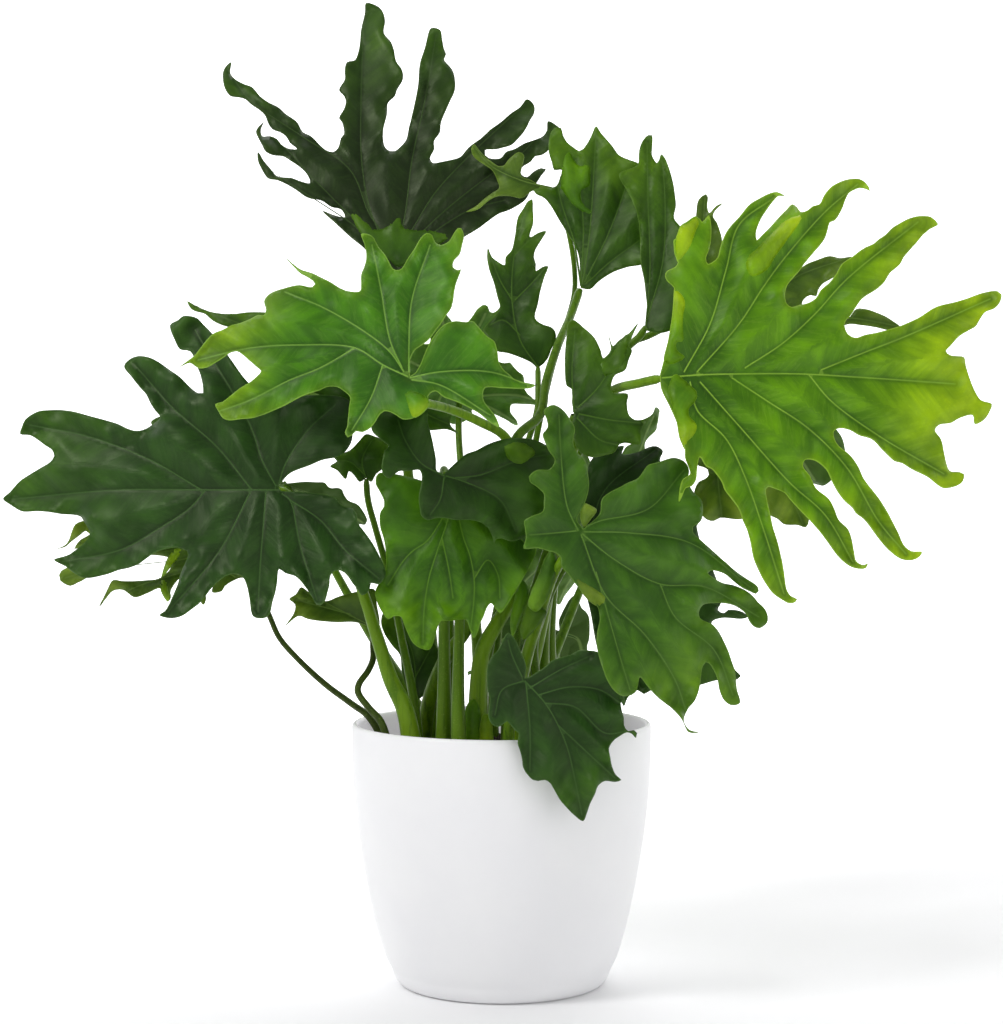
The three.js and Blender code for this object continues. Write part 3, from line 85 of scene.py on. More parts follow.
leafPlans = {
    "top_left": {
        "tone": "deep", "joint": (398, 270), "depth": 90, "lean": (0.05, 0.35),
        "arch": 5, "cup": 8, "wave": (3, 0.4), "radii": (8, 3.1), "foot": (-48, 24),
        "via": [(400, 330, 86), (404, 430, 66), (414, 520, 48), (428, 620, 34), (434, 700, 26)],
        "outline": """
        398,272 376,259 361,245 352,238 338,225 323,211 334,215 345,217 342,210 332,207 322,201 307,197
        295,189 278,180 268,178 261,168 258,160 258,152 264,161 270,168 277,176 292,178 300,181 310,183
        308,176 300,167 290,160 283,156 273,155 266,152 262,145 258,137 256,131 260,125 264,122 261,129
        262,136 270,136 277,139 281,144 287,148 297,149 290,143 286,136 280,132 272,129 268,123 265,115
        260,110 251,104 245,99 238,97 231,96 226,90 223,80 223,72 226,66 231,62 230,73 235,79 244,84 252,87
        260,96 268,102 278,107 286,114 297,122 303,132 311,136 320,145 326,150 333,152 338,148 341,138
        344,134 342,122 339,118 344,109 346,102 344,96 339,90 345,79 345,70 347,62 355,60 359,50 361,30
        365,12 366,3 373,4 381,9 385,20 384,33 391,42 394,50 396,61 402,70 403,79 397,90 395,96 388,103
        387,114 383,130 385,147 390,151 395,151 400,147 406,140 409,127 414,108 418,85 420,64 425,48 431,28
        440,30 442,38 444,49 446,54 444,59 453,71 455,88 449,103 441,122 440,132 434,141 434,149 430,158
        433,163 440,162 450,160 460,157 468,148 480,139 490,130 502,121 510,114 520,107 527,99 534,105
        534,113 530,120 525,130 516,141 511,145 504,147 496,149 485,150 485,155 489,158 501,158 506,152
        515,149 525,143 534,140 543,136 547,130 548,121 556,125 560,129 552,140 549,149 541,155 535,156
        531,161 522,167 520,171 522,175 527,177 533,172 541,168 546,169 541,176 538,181 531,190 526,199
        511,209 498,214 488,221 480,227 465,236 446,246 428,258 412,270""",
        "veins": [
            "398,268 372,215 362,165 361,100 364,10",
            "396,255 405,215 412,160 425,100 436,35",
            "392,245 370,215 350,170 300,135 250,100 228,70",
            "390,250 350,215 310,175 285,148 262,130",
            "388,254 340,215 300,190 265,165 259,155",
            "400,250 415,225 435,193 470,155 525,104",
            "403,252 440,215 490,175 520,155 547,125",
            "404,257 430,235 470,210 505,200",
        ],
    },
    "front_left": {
        "tone": "lush", "joint": (408, 377), "attach": (421, 402), "depth": -115, "lean": (-0.15, 0.4),
        "arch": 5, "cup": 6, "wave": (3, 1.1), "radii": (8.5, 3.1), "foot": (-17, -44),
        "via": [(452, 410, -92), (480, 422, -76), (505, 437, -62), (519, 470, -54), (521, 540, -47),
                (510, 600, -46), (498, 622, -46), (483, 650, -46), (478, 690, -45)],
        "outline": """
        410,376 415,373 420,365 424,355 428,346 434,336 440,328 447,323 456,321 466,322 473,321 477,325
        482,331 488,337 494,341 497,350 499,362 504,370 510,375 514,379 523,382 535,385 530,388 505,388
        485,388 483,394 484,401 490,409 496,417 499,427 490,422 480,414 470,408 460,403 452,400 444,397
        435,391 428,396 430,404 426,410 418,416 410,419 402,419 396,415 390,412 384,411 380,414 375,422
        370,428 362,432 356,431 352,435 348,437 345,432 347,427 348,418 349,407 350,397 345,392 337,387
        327,387 320,390 310,393 302,396 294,400 285,405 272,411 262,415 252,418 240,419 229,420 223,418
        219,412 215,404 222,402 230,396 240,388 250,382 256,377 261,371 257,367 250,361 242,354 237,351
        229,353 224,357 216,362 207,367 198,368 190,363 180,367 194,356 200,349 206,341 213,334 222,330
        232,325 240,323 250,319 258,315 264,315 266,310 264,301 268,295 275,291 285,288 292,286 300,285
        312,287 315,284 313,281 307,277 300,273 295,268 286,258 300,269 312,273 322,278 330,282 340,288
        348,291 360,291 361,285 361,275 364,267 366,260 366,252 364,243 361,234 372,236 378,246 385,255
        390,264 393,269 399,270 402,268 408,258 415,248 421,238 427,233 432,235 435,242 441,245 449,241
        454,233 458,228 461,228 464,236 462,245 459,255 454,260 453,267 458,270 461,269 459,276 456,284
        454,292 453,300 451,308 446,315 442,322 436,330 430,338 422,345 415,350 411,357 409,366""",
        "veins": [
            "408,377 383,365 355,348 300,345 250,348 198,360",
            "355,348 320,368 290,380 250,400 220,411",
            "404,372 390,352 365,332 322,307 285,292",
            "402,368 390,340 381,290 372,245",
            "409,372 409,345 412,300 430,245",
            "383,365 371,398 352,430",
            "410,378 440,372 490,372 530,385",
            "412,380 440,385 490,415",
        ],
    },
    "left_large": {
        "tone": "dark", "joint": (278, 489), "depth": -60, "lean": (-0.2, 0.35),
        "arch": 5, "cup": 7, "wave": (3, 2.3), "radii": (9, 3.2), "foot": (-64, -38),
        "via": [(294, 498, -46), (320, 515, -40), (348, 552, -37), (366, 602, -36), (378, 640, -36),
                (391, 680, -37), (405, 710, -38)],
        "outline": """
        281,491 300,492 312,493 325,495 335,498 340,504 346,507 352,508 356,514 358,523 363,530 371,541
        378,553 384,566 386,574 383,580 379,584 371,583 370,588 367,593 362,595 356,587 352,582 348,576
        344,572 340,570 334,571 330,576 329,585 327,593 325,600 320,605 316,604 312,597 304,585 300,580
        295,576 285,573 279,569 277,582 275,592 272,602 270,612 266,617 259,618 253,616 251,611 250,600
        248,590 246,583 243,577 237,574 230,574 222,578 214,585 208,592 203,599 198,604 190,610 183,615
        175,618 167,618 159,615 165,611 170,603 174,593 178,583 181,572 185,563 188,555 187,551 183,549
        175,547 168,548 160,550 152,554 145,559 138,564 128,568 118,570 110,573 100,576 90,578 82,577 73,572
        65,566 54,560 62,557 70,554 78,548 84,543 88,538 90,533 88,528 84,522 81,517 75,515 62,514 50,512
        38,511 22,511 14,507 8,503 3,499 10,492 20,481 32,473 42,467 50,462 54,456 52,450 45,445 37,439
        30,435 20,434 22,427 25,420 31,415 40,411 50,410 62,410 75,412 90,416 105,420 118,424 128,429
        136,431 145,429 153,424 160,417 155,410 150,402 146,394 140,387 132,377 124,366 130,359 138,356
        148,357 157,361 170,370 180,377 190,387 198,393 203,393 203,388 201,377 198,368 190,351 180,349
        175,340 170,325 178,320 183,316 190,316 197,318 203,324 210,331 218,341 232,361 249,383 275,398
        310,395 349,400 352,420 352,440 345,452 337,457 322,460 310,465 290,473 283,480 278,487""",
        "veins": [
            "278,490 200,490 120,490 12,499",
            "200,489 150,460 90,437 30,425",
            "252,490 217,447 173,408 135,365",
            "205,491 190,508 160,528 120,550 60,562",
            "250,493 220,550 168,612",
            "266,493 260,570 258,612",
            "282,494 290,500 300,545 317,600",
            "290,500 320,520 345,550 378,578",
            "276,486 262,460 250,425 195,330",
            "279,484 285,465 308,430 335,405",
        ],
    },
    "left_hidden": {
        "tone": "middle", "joint": (395, 384), "depth": -35, "lean": (-0.1, 0.3),
        "arch": 4, "cup": 5, "wave": (2, 3.1), "radii": (5.5, 2.4), "foot": (-37, 0),
        "via": [(398, 400, -24), (420, 450, -14), (441, 540, -8), (448, 600, -4), (450, 650, -2)],
        "outline": """
        395,385 405,400 430,405 452,408 452,414 450,424 458,433 447,429 430,430 415,425 400,428 380,420
        350,405 320,395 290,380 262,365 250,345 240,330 225,326 212,320 205,314 192,309 187,301 200,308
        212,312 230,314 252,312 280,315 300,330 330,335 345,310 375,300 395,320 400,350""",
        "veins": [
            "395,384 340,360 270,335 195,306",
            "397,388 420,410 450,425",
        ],
    },
    "left_low": {
        "tone": "olive", "joint": (262, 600), "depth": 50, "lean": (0.1, 0.3),
        "arch": 4, "cup": 5, "wave": (2, 0.9), "radii": (3.2, 2.1), "foot": (-86, -6),
        "via": [(270, 617, 46), (279, 637, 42), (296, 657, 36), (325, 684, 24), (352, 704, 12),
                (369, 717, 2)],
        "outline": """
        262,600 250,588 243,578 225,586 222,591 212,592 214,580 205,575 206,600 203,605 200,600 198,580
        185,575 171,590 170,600 163,595 160,588 147,593 134,597 123,590 113,591 105,600 99,607 103,599
        107,590 113,580 122,581 134,581 148,580 158,579 168,572 172,560 150,555 120,560 98,566 86,578 77,583
        70,586 60,580 59,575 61,571 66,568 90,556 100,548 82,547 74,549 76,545 80,540 87,536 90,534 86,531
        79,536 71,542 65,547 57,549 65,545 69,540 71,534 76,524 83,521 110,519 150,518 200,520 245,530
        268,552 274,580""",
        "veins": [
            "262,600 220,570 150,582 102,603",
            "225,570 200,550 120,540 60,549",
            "205,552 180,560 110,565 65,578",
            "262,600 240,583",
        ],
    },
    "right_large": {
        "tone": "bright", "joint": (662, 378), "depth": -80, "lean": (0.05, 0.3),
        "arch": 5, "cup": 4, "wave": (3, 1.9), "radii": (10, 3.3), "foot": (8, 2),
        "via": [(640, 383, -60), (612, 391, -36), (588, 414, -20), (570, 460, -10), (558, 530, -5),
                (546, 595, -3), (528, 672, 0), (515, 715, 1)],
        "outline": """
        660,374 665,355 670,331 672,319 674,300 674,288 667,281 665,276 667,271 675,267 678,262 675,255
        674,246 674,240 679,236 680,226 686,222 696,216 700,219 702,222 709,215 711,224 711,239 709,250
        706,258 708,264 714,261 718,257 720,248 723,239 729,228 739,217 743,212 750,204 760,198 768,194
        777,192 785,196 778,196 772,202 767,209 760,221 756,233 757,240 761,236 771,226 780,216 787,209
        792,204 797,207 801,212 808,210 813,206 820,204 824,196 830,188 840,182 850,179 860,179 866,183
        869,187 870,191 866,189 860,188 854,190 849,193 845,201 842,209 835,220 830,222 828,228 825,238
        821,244 813,253 804,264 800,270 792,279 787,286 785,295 787,304 792,307 799,305 808,303 816,298
        821,290 830,282 837,273 842,264 852,257 861,250 866,247 873,244 879,239 885,235 892,228 900,223
        910,218 920,216 931,217 935,220 938,224 930,229 923,235 917,242 910,250 904,257 900,264 890,273
        885,281 878,288 862,299 856,307 851,315 845,322 845,328 848,334 856,338 865,335 876,333 890,329
        900,326 910,322 920,317 934,308 942,305 955,302 966,299 982,293 997,291 1001,294 1000,302 995,308
        985,312 980,319 976,326 969,330 959,336 951,345 946,351 950,355 958,356 964,357 966,366 970,379
        975,391 981,400 992,404 990,411 984,420 975,424 973,415 960,418 951,423 939,425 935,430 941,439
        944,452 947,465 950,471 960,472 964,474 963,481 958,485 944,488 938,485 928,477 912,469 902,463
        895,461 883,450 872,439 859,435 850,430 840,428 834,431 834,437 838,445 850,455 858,466 864,479
        874,492 880,500 890,517 898,532 904,545 911,551 922,552 919,557 912,560 902,559 890,551 880,540
        872,529 864,519 856,513 853,508 845,501 838,492 832,481 826,469 814,460 805,460 803,466 810,476
        816,488 829,499 834,508 839,520 848,529 852,540 854,553 856,561 864,565 868,563 866,568 859,569
        850,566 838,556 827,541 816,527 798,508 789,498 785,493 776,489 768,487 766,489 767,500 770,514
        773,527 778,543 782,561 785,580 787,590 791,596 797,599 795,602 789,603 781,599 773,593 767,585
        760,573 754,559 751,545 747,530 743,520 739,509 731,498 725,490 722,482 718,476 712,469 706,466
        700,457 697,470 696,480 692,486 686,488 682,497 679,502 680,487 683,479 690,474 688,466 685,458
        685,450 682,440 677,423 670,407 661,388""",
        "veins": [
            "662,378 700,375 740,374 800,374 870,378 955,384",
            "745,368 783,343 815,314 847,279 918,222",
            "821,370 863,353 904,337 990,299",
            "697,372 739,324 764,286 783,260 825,212 858,184",
            "684,372 710,324 726,270 739,225 775,197",
            "809,375 831,401 879,436 944,474",
            "732,378 767,401 809,429 847,468 879,522 906,554",
            "700,382 739,426 790,483 825,515 853,562",
            "690,382 697,410 726,439 745,477 764,531 784,594",
        ],
    },
    "top_middle": {
        "tone": "middle", "joint": (581, 286), "depth": 60, "lean": (0, 0.25),
        "arch": 4, "cup": 10, "wave": (2.5, 2.7), "radii": (6.5, 3.1), "foot": (-58, 8),
        "via": [(571, 315, 46), (558, 345, 17), (546, 382, -2), (540, 415, -18), (518, 436, -36),
                (502, 472, -36), (490, 550, -27), (468, 626, -18), (447, 656, -14), (431, 694, -4)],
        "outline": """
        581,288 580,272 579,258 575,245 568,234 559,220 551,206 544,198 536,194 533,190 541,188 556,186
        560,177 562,170 554,170 552,163 549,153 549,140 551,132 554,128 561,128 563,135 567,142 573,147
        579,151 583,149 588,142 592,134 596,126 601,133 607,140 613,147 619,155 630,160 639,164 646,190
        648,225 646,262 627,267 613,272 599,281 590,289""",
        "veins": [
            "581,286 575,245 562,205 556,180",
            "583,284 590,230 596,132",
            "585,282 610,230 630,175",
            "582,276 583,220 575,160",
            "586,284 610,262 640,240",
        ],
    },
    "top_right": {
        "tone": "middle", "joint": (646, 326), "depth": 15, "lean": (0.05, 0.3),
        "arch": 4, "cup": 6, "wave": (2, 4.1), "radii": (6, 2.8), "foot": (32, 26),
        "via": [(640, 336, 20), (628, 347, 22), (606, 375, 25), (582, 440, 26), (560, 540, 25),
                (545, 620, 24)],
        "outline": """
        645,330 646,318 647,307 646,296 644,279 641,264 640,240 637,212 628,192 619,174 629,169 638,165
        639,158 639,151 642,142 648,135 652,135 652,145 652,155 657,163 659,160 661,154 665,158 668,166
        672,178 675,195 676,206 674,218 680,226 690,240 696,270 690,310 675,328 660,333""",
        "veins": [
            "646,326 650,270 648,200 647,142",
            "648,318 663,260 665,200 662,160",
        ],
    },
    "right_behind": {
        "tone": "olive", "joint": (685, 319), "depth": 45, "lean": (0.05, 0.25),
        "arch": 4, "cup": 5, "wave": (2, 5.2), "radii": (6, 2.6), "foot": (44, 50),
        "via": [(672, 324, 48), (650, 335, 50), (628, 345, 50), (600, 385, 49), (575, 450, 48),
                (556, 560, 48), (550, 650, 49)],
        "outline": """
        684,318 686,300 690,280 693,245 696,215 698,201 702,196 706,194 708,197 707,206 709,213 716,206
        723,203 715,211 713,216 717,223 720,232 722,241 721,252 735,275 760,290 778,285 790,277 800,269
        807,264 818,260 830,256 840,258 852,257 845,266 835,276 822,284 818,290 816,296 810,295 804,299
        802,306 815,312 830,316 848,318 856,309 865,309 875,312 885,316 893,321 900,326 905,331 895,331
        879,328 861,325 848,324 830,335 812,352 800,380 795,420 798,450 800,480 806,505 809,520 806,527
        798,525 784,524 778,519 770,515 766,505 758,508 742,519 720,518 714,521 708,520 700,512 694,495
        699,482 705,479 709,475 708,470 703,467 696,464 700,440 705,400 700,370 692,345 688,325""",
        "veins": [
            "686,319 720,335 760,320 850,318 898,326",
            "740,322 760,300 800,275 848,258",
            "690,315 700,260 705,198",
            "700,330 730,380 770,450 803,524",
            "708,345 715,400 718,480 722,516",
        ],
    },
    "front_right": {
        "tone": "fresh", "joint": (580, 530), "depth": -125, "lean": (0.35, 0.35),
        "arch": 5, "cup": -4, "wave": (3, 3.6), "radii": (8.5, 3), "foot": (16, -46),
        "via": [(567, 552, -104), (553, 577, -84), (541, 612, -66), (527, 655, -54), (518, 700,
                -48)],
        "outline": """
        583,529 593,521 600,513 602,499 610,492 620,487 627,483 638,478 644,470 648,465 659,462 675,458
        685,462 689,470 688,478 692,490 702,501 701,521 693,527 693,532 703,542 712,550 723,560 737,572
        750,581 758,587 759,591 756,594 750,591 741,587 732,580 725,574 718,571 711,570 708,573 714,578
        723,583 733,585 745,590 753,596 758,602 765,609 768,617 767,623 760,628 754,626 749,620 747,615
        741,609 734,605 725,603 715,603 703,605 699,612 700,618 707,622 712,624 719,632 726,646 731,659
        735,671 737,689 740,703 731,705 724,700 720,691 718,680 715,672 709,663 706,662 703,666 701,676
        700,685 697,696 694,702 688,709 684,721 690,730 699,732 689,732 682,719 672,708 660,699 652,691
        646,684 640,677 638,685 636,692 632,695 623,696 615,691 608,681 603,668 600,660 597,645 598,630
        600,620 599,612 597,606 590,600 579,588 569,575 561,565 561,558 556,553 549,551 538,548 524,548
        526,538 525,528 524,521 532,516 543,511 544,501 544,494 537,487 530,482 529,477 537,470 550,469
        555,460 549,451 545,442 543,434 548,427 547,419 544,411 548,407 554,405 562,409 570,419 575,429
        573,441 577,452 585,460 588,473 589,487 586,500 581,511 577,520""",
        "veins": [
            "578,531 567,506 561,455 559,415",
            "583,528 600,521 648,509 684,470",
            "584,532 630,533 690,543 750,587",
            "582,534 615,560 660,584 705,587 759,617",
            "660,584 675,617 714,650 733,695",
            "581,535 606,596 645,635 675,680 688,718",
            "596,572 618,650 630,690",
            "576,531 555,533 530,535",
        ],
    },
    "front_hanging": {
        "tone": "vivid", "joint": (455, 501), "depth": -75, "lean": (0, 0.25),
        "arch": 3, "cup": 8, "wave": (3, 4.8), "radii": (7, 3), "foot": (-30, -64),
        "via": [(458, 524, -62), (460, 580, -60), (459, 640, -61), (458, 700, -63)],
        "outline": """
        452,500 440,488 420,480 395,474 378,474 376,484 379,490 384,501 384,506 380,513 380,525 384,540
        386,555 385,572 378,585 375,592 377,602 382,612 388,619 394,616 401,617 404,624 408,634 413,643
        420,648 429,650 435,638 437,629 441,621 450,621 458,620 466,620 470,630 474,638 478,631 480,623
        483,617 487,607 491,603 496,609 500,613 506,606 514,594 522,580 530,566 536,552 535,535 520,520
        500,505 480,496 465,494""",
        "veins": [
            "453,502 447,523 437,552 429,578 424,611 423,643",
            "442,538 449,571 453,598",
            "456,503 463,536 470,556 474,579 474,598 470,633",
            "474,579 488,560 498,575 500,598",
            "450,506 427,541 414,550 404,560 388,585",
            "460,500 500,520 530,548",
        ],
    },
    "front_middle": {
        "tone": "night", "joint": (445, 474), "depth": -105, "lean": (0.3, 0.3),
        "arch": 4, "cup": 4, "wave": (2.5, 0.7), "radii": (7, 2.9), "foot": (-42, -38),
        "via": [(444, 470, -88), (443, 482, -58), (443, 530, -40), (444, 620, -37), (444, 700,
                -38)],
        "outline": """
        444,474 451,467 460,459 466,454 477,450 486,445 500,440 515,438 535,440 550,448 560,462 562,480
        556,500 548,515 535,530 521,539 511,541 501,538 496,539 494,543 492,536 488,528 480,522 470,520
        456,520 445,518 436,518 428,520 422,516 420,508 419,497 421,486 422,477 420,470 408,471 399,471
        394,475 390,478 384,475 382,469 383,459 385,450 389,446 382,440 372,430 375,415 395,405 415,405
        427,411 428,422 431,434 434,448 436,459 437,471""",
        "veins": [
            "444,476 421,463 405,440 398,420",
            "446,476 465,482 500,500 515,530",
            "455,478 480,475 520,460 545,455",
            "444,478 440,500 430,515",
        ],
    },
    "over_rim": {
        "tone": "dark", "joint": (525, 681), "depth": -118, "lean": (0, 0.1),
        "arch": 2, "cup": 5, "wave": (2, 2.2), "radii": (5.5, 2.7), "foot": (4, -76),
        "via": [(503, 712, -80), (504, 690, -90), (511, 678, -104)],
        "outline": """
        525,678 529,677 536,673 544,668 552,661 560,658 570,655 580,650 590,651 597,652 605,660 612,675
        620,690 624,697 624,706 621,702 622,711 624,718 624,725 628,731 634,730 637,733 636,738 632,734
        627,732 620,736 613,741 609,748 610,757 612,767 616,775 621,780 615,782 605,781 598,786 595,794
        590,804 587,813 583,821 574,815 567,808 560,800 555,791 550,783 545,780 538,781 533,780 527,774
        523,767 522,759 520,750 518,743 519,733 515,730 510,724 507,721 503,724 498,727 492,724 489,718
        489,709 490,698 488,692 487,680 488,664 492,656 498,650 503,640 508,633 514,638 519,648 523,657
        526,666""",
        "veins": [
            "525,681 545,703 558,725 568,750 575,780 582,815",
            "530,688 560,670 592,655",
            "538,695 570,687 600,690 620,703",
            "545,703 575,707 605,733 628,731",
            "558,725 590,755 615,778",
            "526,683 530,730 530,770",
            "523,681 502,690 495,715",
            "522,677 512,655 508,640",
        ],
    },
    "middle_small": {
        "tone": "middle", "joint": (574, 412), "depth": -60, "lean": (0, 0.3),
        "arch": 4, "cup": 5, "wave": (2, 5.9), "radii": (5.5, 2.3), "foot": (4, -24),
        "via": [(570, 432, -50), (560, 500, -38), (537, 580, -26), (517, 640, -23), (508, 700,
                -23)],
        "outline": """
        574,411 572,403 572,389 567,386 565,369 565,352 567,335 569,322 573,320 584,328 593,336 598,344
        601,351 603,358 609,353 611,348 609,336 613,346 618,341 629,333 638,323 633,334 629,346 632,350
        629,359 625,370 615,375 612,381 612,392 628,394 627,403 629,415 635,420 646,420 641,431 640,444
        624,443 619,445 615,452 605,455 592,457 580,452 574,440 572,425""",
        "veins": [
            "574,412 572,370 575,330",
            "578,408 600,385 622,345",
            "579,414 610,420 640,423",
            "577,418 600,440 618,445",
        ],
    },
    "middle_curled": {
        "tone": "middle", "joint": (538, 366), "depth": 35, "lean": (0, 0.25),
        "arch": 3, "cup": 14, "wave": (2, 1.6), "radii": (5, 2.2), "foot": (-18, 24),
        "via": [(538, 386, 28), (537, 410, 20), (526, 450, 14), (515, 520, 14), (495, 620, 18),
                (480, 700, 22)],
        "outline": """
        537,368 532,363 522,358 508,353 497,351 490,343 483,331 487,324 494,317 500,306 498,298 494,283
        489,268 487,256 488,248 492,257 500,263 505,265 506,257 512,250 515,237 516,227 518,217 523,209
        528,201 532,199 533,211 533,223 530,237 538,233 546,231 541,240 535,251 534,257 536,264 536,271
        542,267 548,266 544,277 541,288 538,304 535,318 542,324 551,327 555,331 556,339 551,350 548,358
        542,365""",
        "veins": [
            "537,366 520,340 512,300 515,250 528,205",
            "520,335 503,320 490,325",
            "512,300 500,280 490,255",
            "515,300 530,285 545,268",
            "515,255 530,240 543,233",
        ],
    },
    "right_dark": {
        "tone": "dark", "joint": (589, 543), "depth": -60, "lean": (0.3, 0.35),
        "arch": 4, "cup": -3, "wave": (2.5, 0.1), "radii": (5.5, 2.6), "foot": (28, -10),
        "via": [(573, 556, -44), (555, 584, -30), (542, 616, -24), (534, 645, -20), (537, 690,
                -14)],
        "outline": """
        588,545 583,520 585,490 590,462 600,452 615,447 624,446 622,454 638,452 649,447 656,446 663,451
        660,460 670,480 690,500 700,540 715,575 722,600 718,610 724,613 728,610 736,610 743,612 748,617
        741,619 731,618 722,618 712,622 716,640 728,660 736,671 741,676 738,679 730,681 718,680 700,685
        680,690 665,688 650,691 644,694 638,690 628,697 624,706 620,697 610,680 598,650 592,620 585,580""",
        "veins": [
            "590,543 640,580 690,630 738,676",
            "588,538 605,490 655,450",
            "604,552 660,580 745,617",
            "590,548 610,620 640,688",
        ],
    },
    "left_small": {
        "tone": "olive", "joint": (373, 627), "depth": -14, "lean": (-0.1, 0.2),
        "arch": 3, "cup": 5, "wave": (1.5, 3.3), "radii": (3.4, 2.3), "foot": (-80, -46),
        "via": [(373, 644, -16), (373, 659, -20), (368, 671, -26), (359, 684, -32), (358, 692, -34),
                (369, 708, -40), (381, 722, -44)],
        "outline": """
        373,628 365,625 354,622 335,622 308,619 299,616 290,622 284,628 288,622 294,613 295,604 289,599
        296,594 301,587 311,594 325,601 340,596 364,590 374,589 377,606 379,626""",
        "veins": [
            "373,627 340,610 305,592",
            "350,614 296,600",
        ],
    },
    "edge_strip": {
        "tone": "olive", "joint": (552, 188), "depth": 96, "lean": (0, 0.2),
        "arch": 2, "cup": 2, "wave": (1, 1.4), "radii": (4.5, 2), "foot": (-6, 46),
        "via": [(567, 226, 98), (575, 285, 88), (566, 325, 70), (553, 365, 58), (540, 420, 48),
                (525, 500, 42), (502, 600, 42), (493, 690, 44)],
        "outline": """
        553,188 540,185 531,180 521,176 522,167 524,155 519,152 510,158 503,166 498,166 489,160 480,151
        474,144 471,149 472,154 477,160 485,165 492,170 497,180 499,188 492,193 484,199 476,206 466,212
        478,209 489,200 498,196 510,196 522,198 530,192 535,190 545,190""",
        "veins": [
            "552,188 520,180 490,165 474,146",
        ],
    },
    "left_olive": {
        "tone": "middle", "joint": (366, 479), "depth": 10, "lean": (0, 0.2),
        "arch": 3, "cup": 6, "wave": (1, 2.5), "radii": (4.5, 2.4), "foot": (-60, -16),
        "via": [(368, 500, 11), (376, 530, 9), (390, 580, 2), (402, 640, -8), (412, 690, -14)],
        "outline": """
        366,478 360,482 354,475 349,471 346,479 337,470 330,466 337,461 333,457 340,454 350,450 360,440
        366,434 374,436 381,439 389,447 386,454 383,462 382,469 376,474 371,482""",
        "veins": [
            "366,478 362,460 372,440",
            "364,474 350,462 334,460",
        ],
    },
    "inner_left": {
        "tone": "middle", "joint": (415, 698), "depth": 10, "lean": (0, 0.2),
        "arch": 2, "cup": 4, "wave": (1, 1.2), "radii": (3.2, 2.2), "foot": (-70, 14),
        "via": [(413, 712, 12)],
        "outline": """
        418,700 408,690 402,672 400,655 392,645 384,632 381,620 385,610 395,606 408,612 418,622 432,640
        440,655 438,672 430,690""",
        "veins": [
            "416,698 413,655 395,612",
            "414,680 430,650",
        ],
    },
}

# Strips of margin that are folded over a leaf's own face and show its paler side
# Lobes rolled back over their own leaf; those with a depth are sheaths and rolled leaves before a stalk
foldPlans = [
    {"on": "top_left", "tone": "middle", "lift": 2.2, "outline": """
        346,204 360,216 376,229 392,222 396,217 401,217 404,227 432,230 450,236 436,248 420,258 408,264
        398,268 388,260 370,246 356,228"""},
    {"on": "front_left", "tone": "lush", "lift": 3.5, "outline": """
        404,393 409,390 416,391 426,396 430,404 426,410 419,416 413,418 408,408"""},
    {"on": "right_large", "tone": "bright", "lift": 3.5, "outline": """
        674,288 679,291 684,297 686,304 684,315 684,335 685,342 677,343 678,350 686,357 671,365 664,362
        668,340 672,316"""},
    {"on": "right_large", "tone": "bright", "lift": 3.5, "outline": """
        674,372 682,377 690,384 697,391 698,396 694,404 690,408 690,416 695,421 698,426 694,436 688,442
        686,450 680,440 676,420 671,404 668,386"""},
    {"on": "right_large", "tone": "bright", "lift": 4, "outline": """
        680,226 688,222 696,217 700,222 696,232 692,244 686,254 678,262 675,252 675,242"""},
    {"on": "right_large", "tone": "bright", "lift": 3, "outline": """
        806,213 800,224 792,235 776,257 767,271 752,277 746,270 746,259 758,246 772,232 788,218"""},
    {"on": "top_middle", "tone": "vivid", "lift": 3, "outline": """
        560,188 562,168 565,154 570,151 574,159 579,165 590,165 591,171 590,186 582,191 583,202 590,209
        598,216 586,214 572,204"""},
    {"on": "front_right", "tone": "olive", "lift": 2.4, "outline": """
        570,572 585,582 599,590 607,598 604,604 597,606 588,600 579,588"""},
    {"on": "front_right", "tone": "olive", "lift": 2, "outline": """
        583,502 590,505 597,510 592,518 584,527 580,516"""},
    {"on": "front_middle", "tone": "middle", "lift": 2.6, "outline": """
        502,446 515,441 528,444 536,452 530,460 520,465 508,460"""},
    {"on": "middle_small", "tone": "middle", "lift": 2.4, "outline": """
        598,352 604,360 612,352 616,345 628,334 628,350 624,364 614,374 604,376 600,366"""},
    {"on": "left_low", "tone": "lush", "lift": 2.6, "outline": """
        184,549 178,559 167,572 166,580 170,591 171,598 168,602 162,594 160,587 163,570 169,555 175,548"""},
    {"on": "front_left", "tone": "vivid", "depth": -52, "lift": 2.5, "outline": """
        462,744 464,716 468,703 474,699 479,706 481,724 479,744"""},
    {"on": "front_left", "tone": "lush", "depth": -54, "lift": 2.5, "outline": """
        479,744 480,724 484,713 490,716 493,730 492,744"""},
    {"on": "front_right", "tone": "vivid", "depth": -72, "lift": 3, "outline": """
        512,640 510,622 514,600 517,588 521,579 527,585 529,593 525,608 519,624"""},
    {"on": "front_right", "tone": "fresh", "depth": -92, "lift": 3, "outline": """
        551,548 557,556 556,572 551,590 545,603 536,612 528,606 531,592 538,576 544,560"""},
    {"on": "front_right", "tone": "middle", "depth": -80, "lift": 3, "outline": """
        528,600 540,606 547,612 541,622 531,634 524,640 520,632 523,616"""},
]

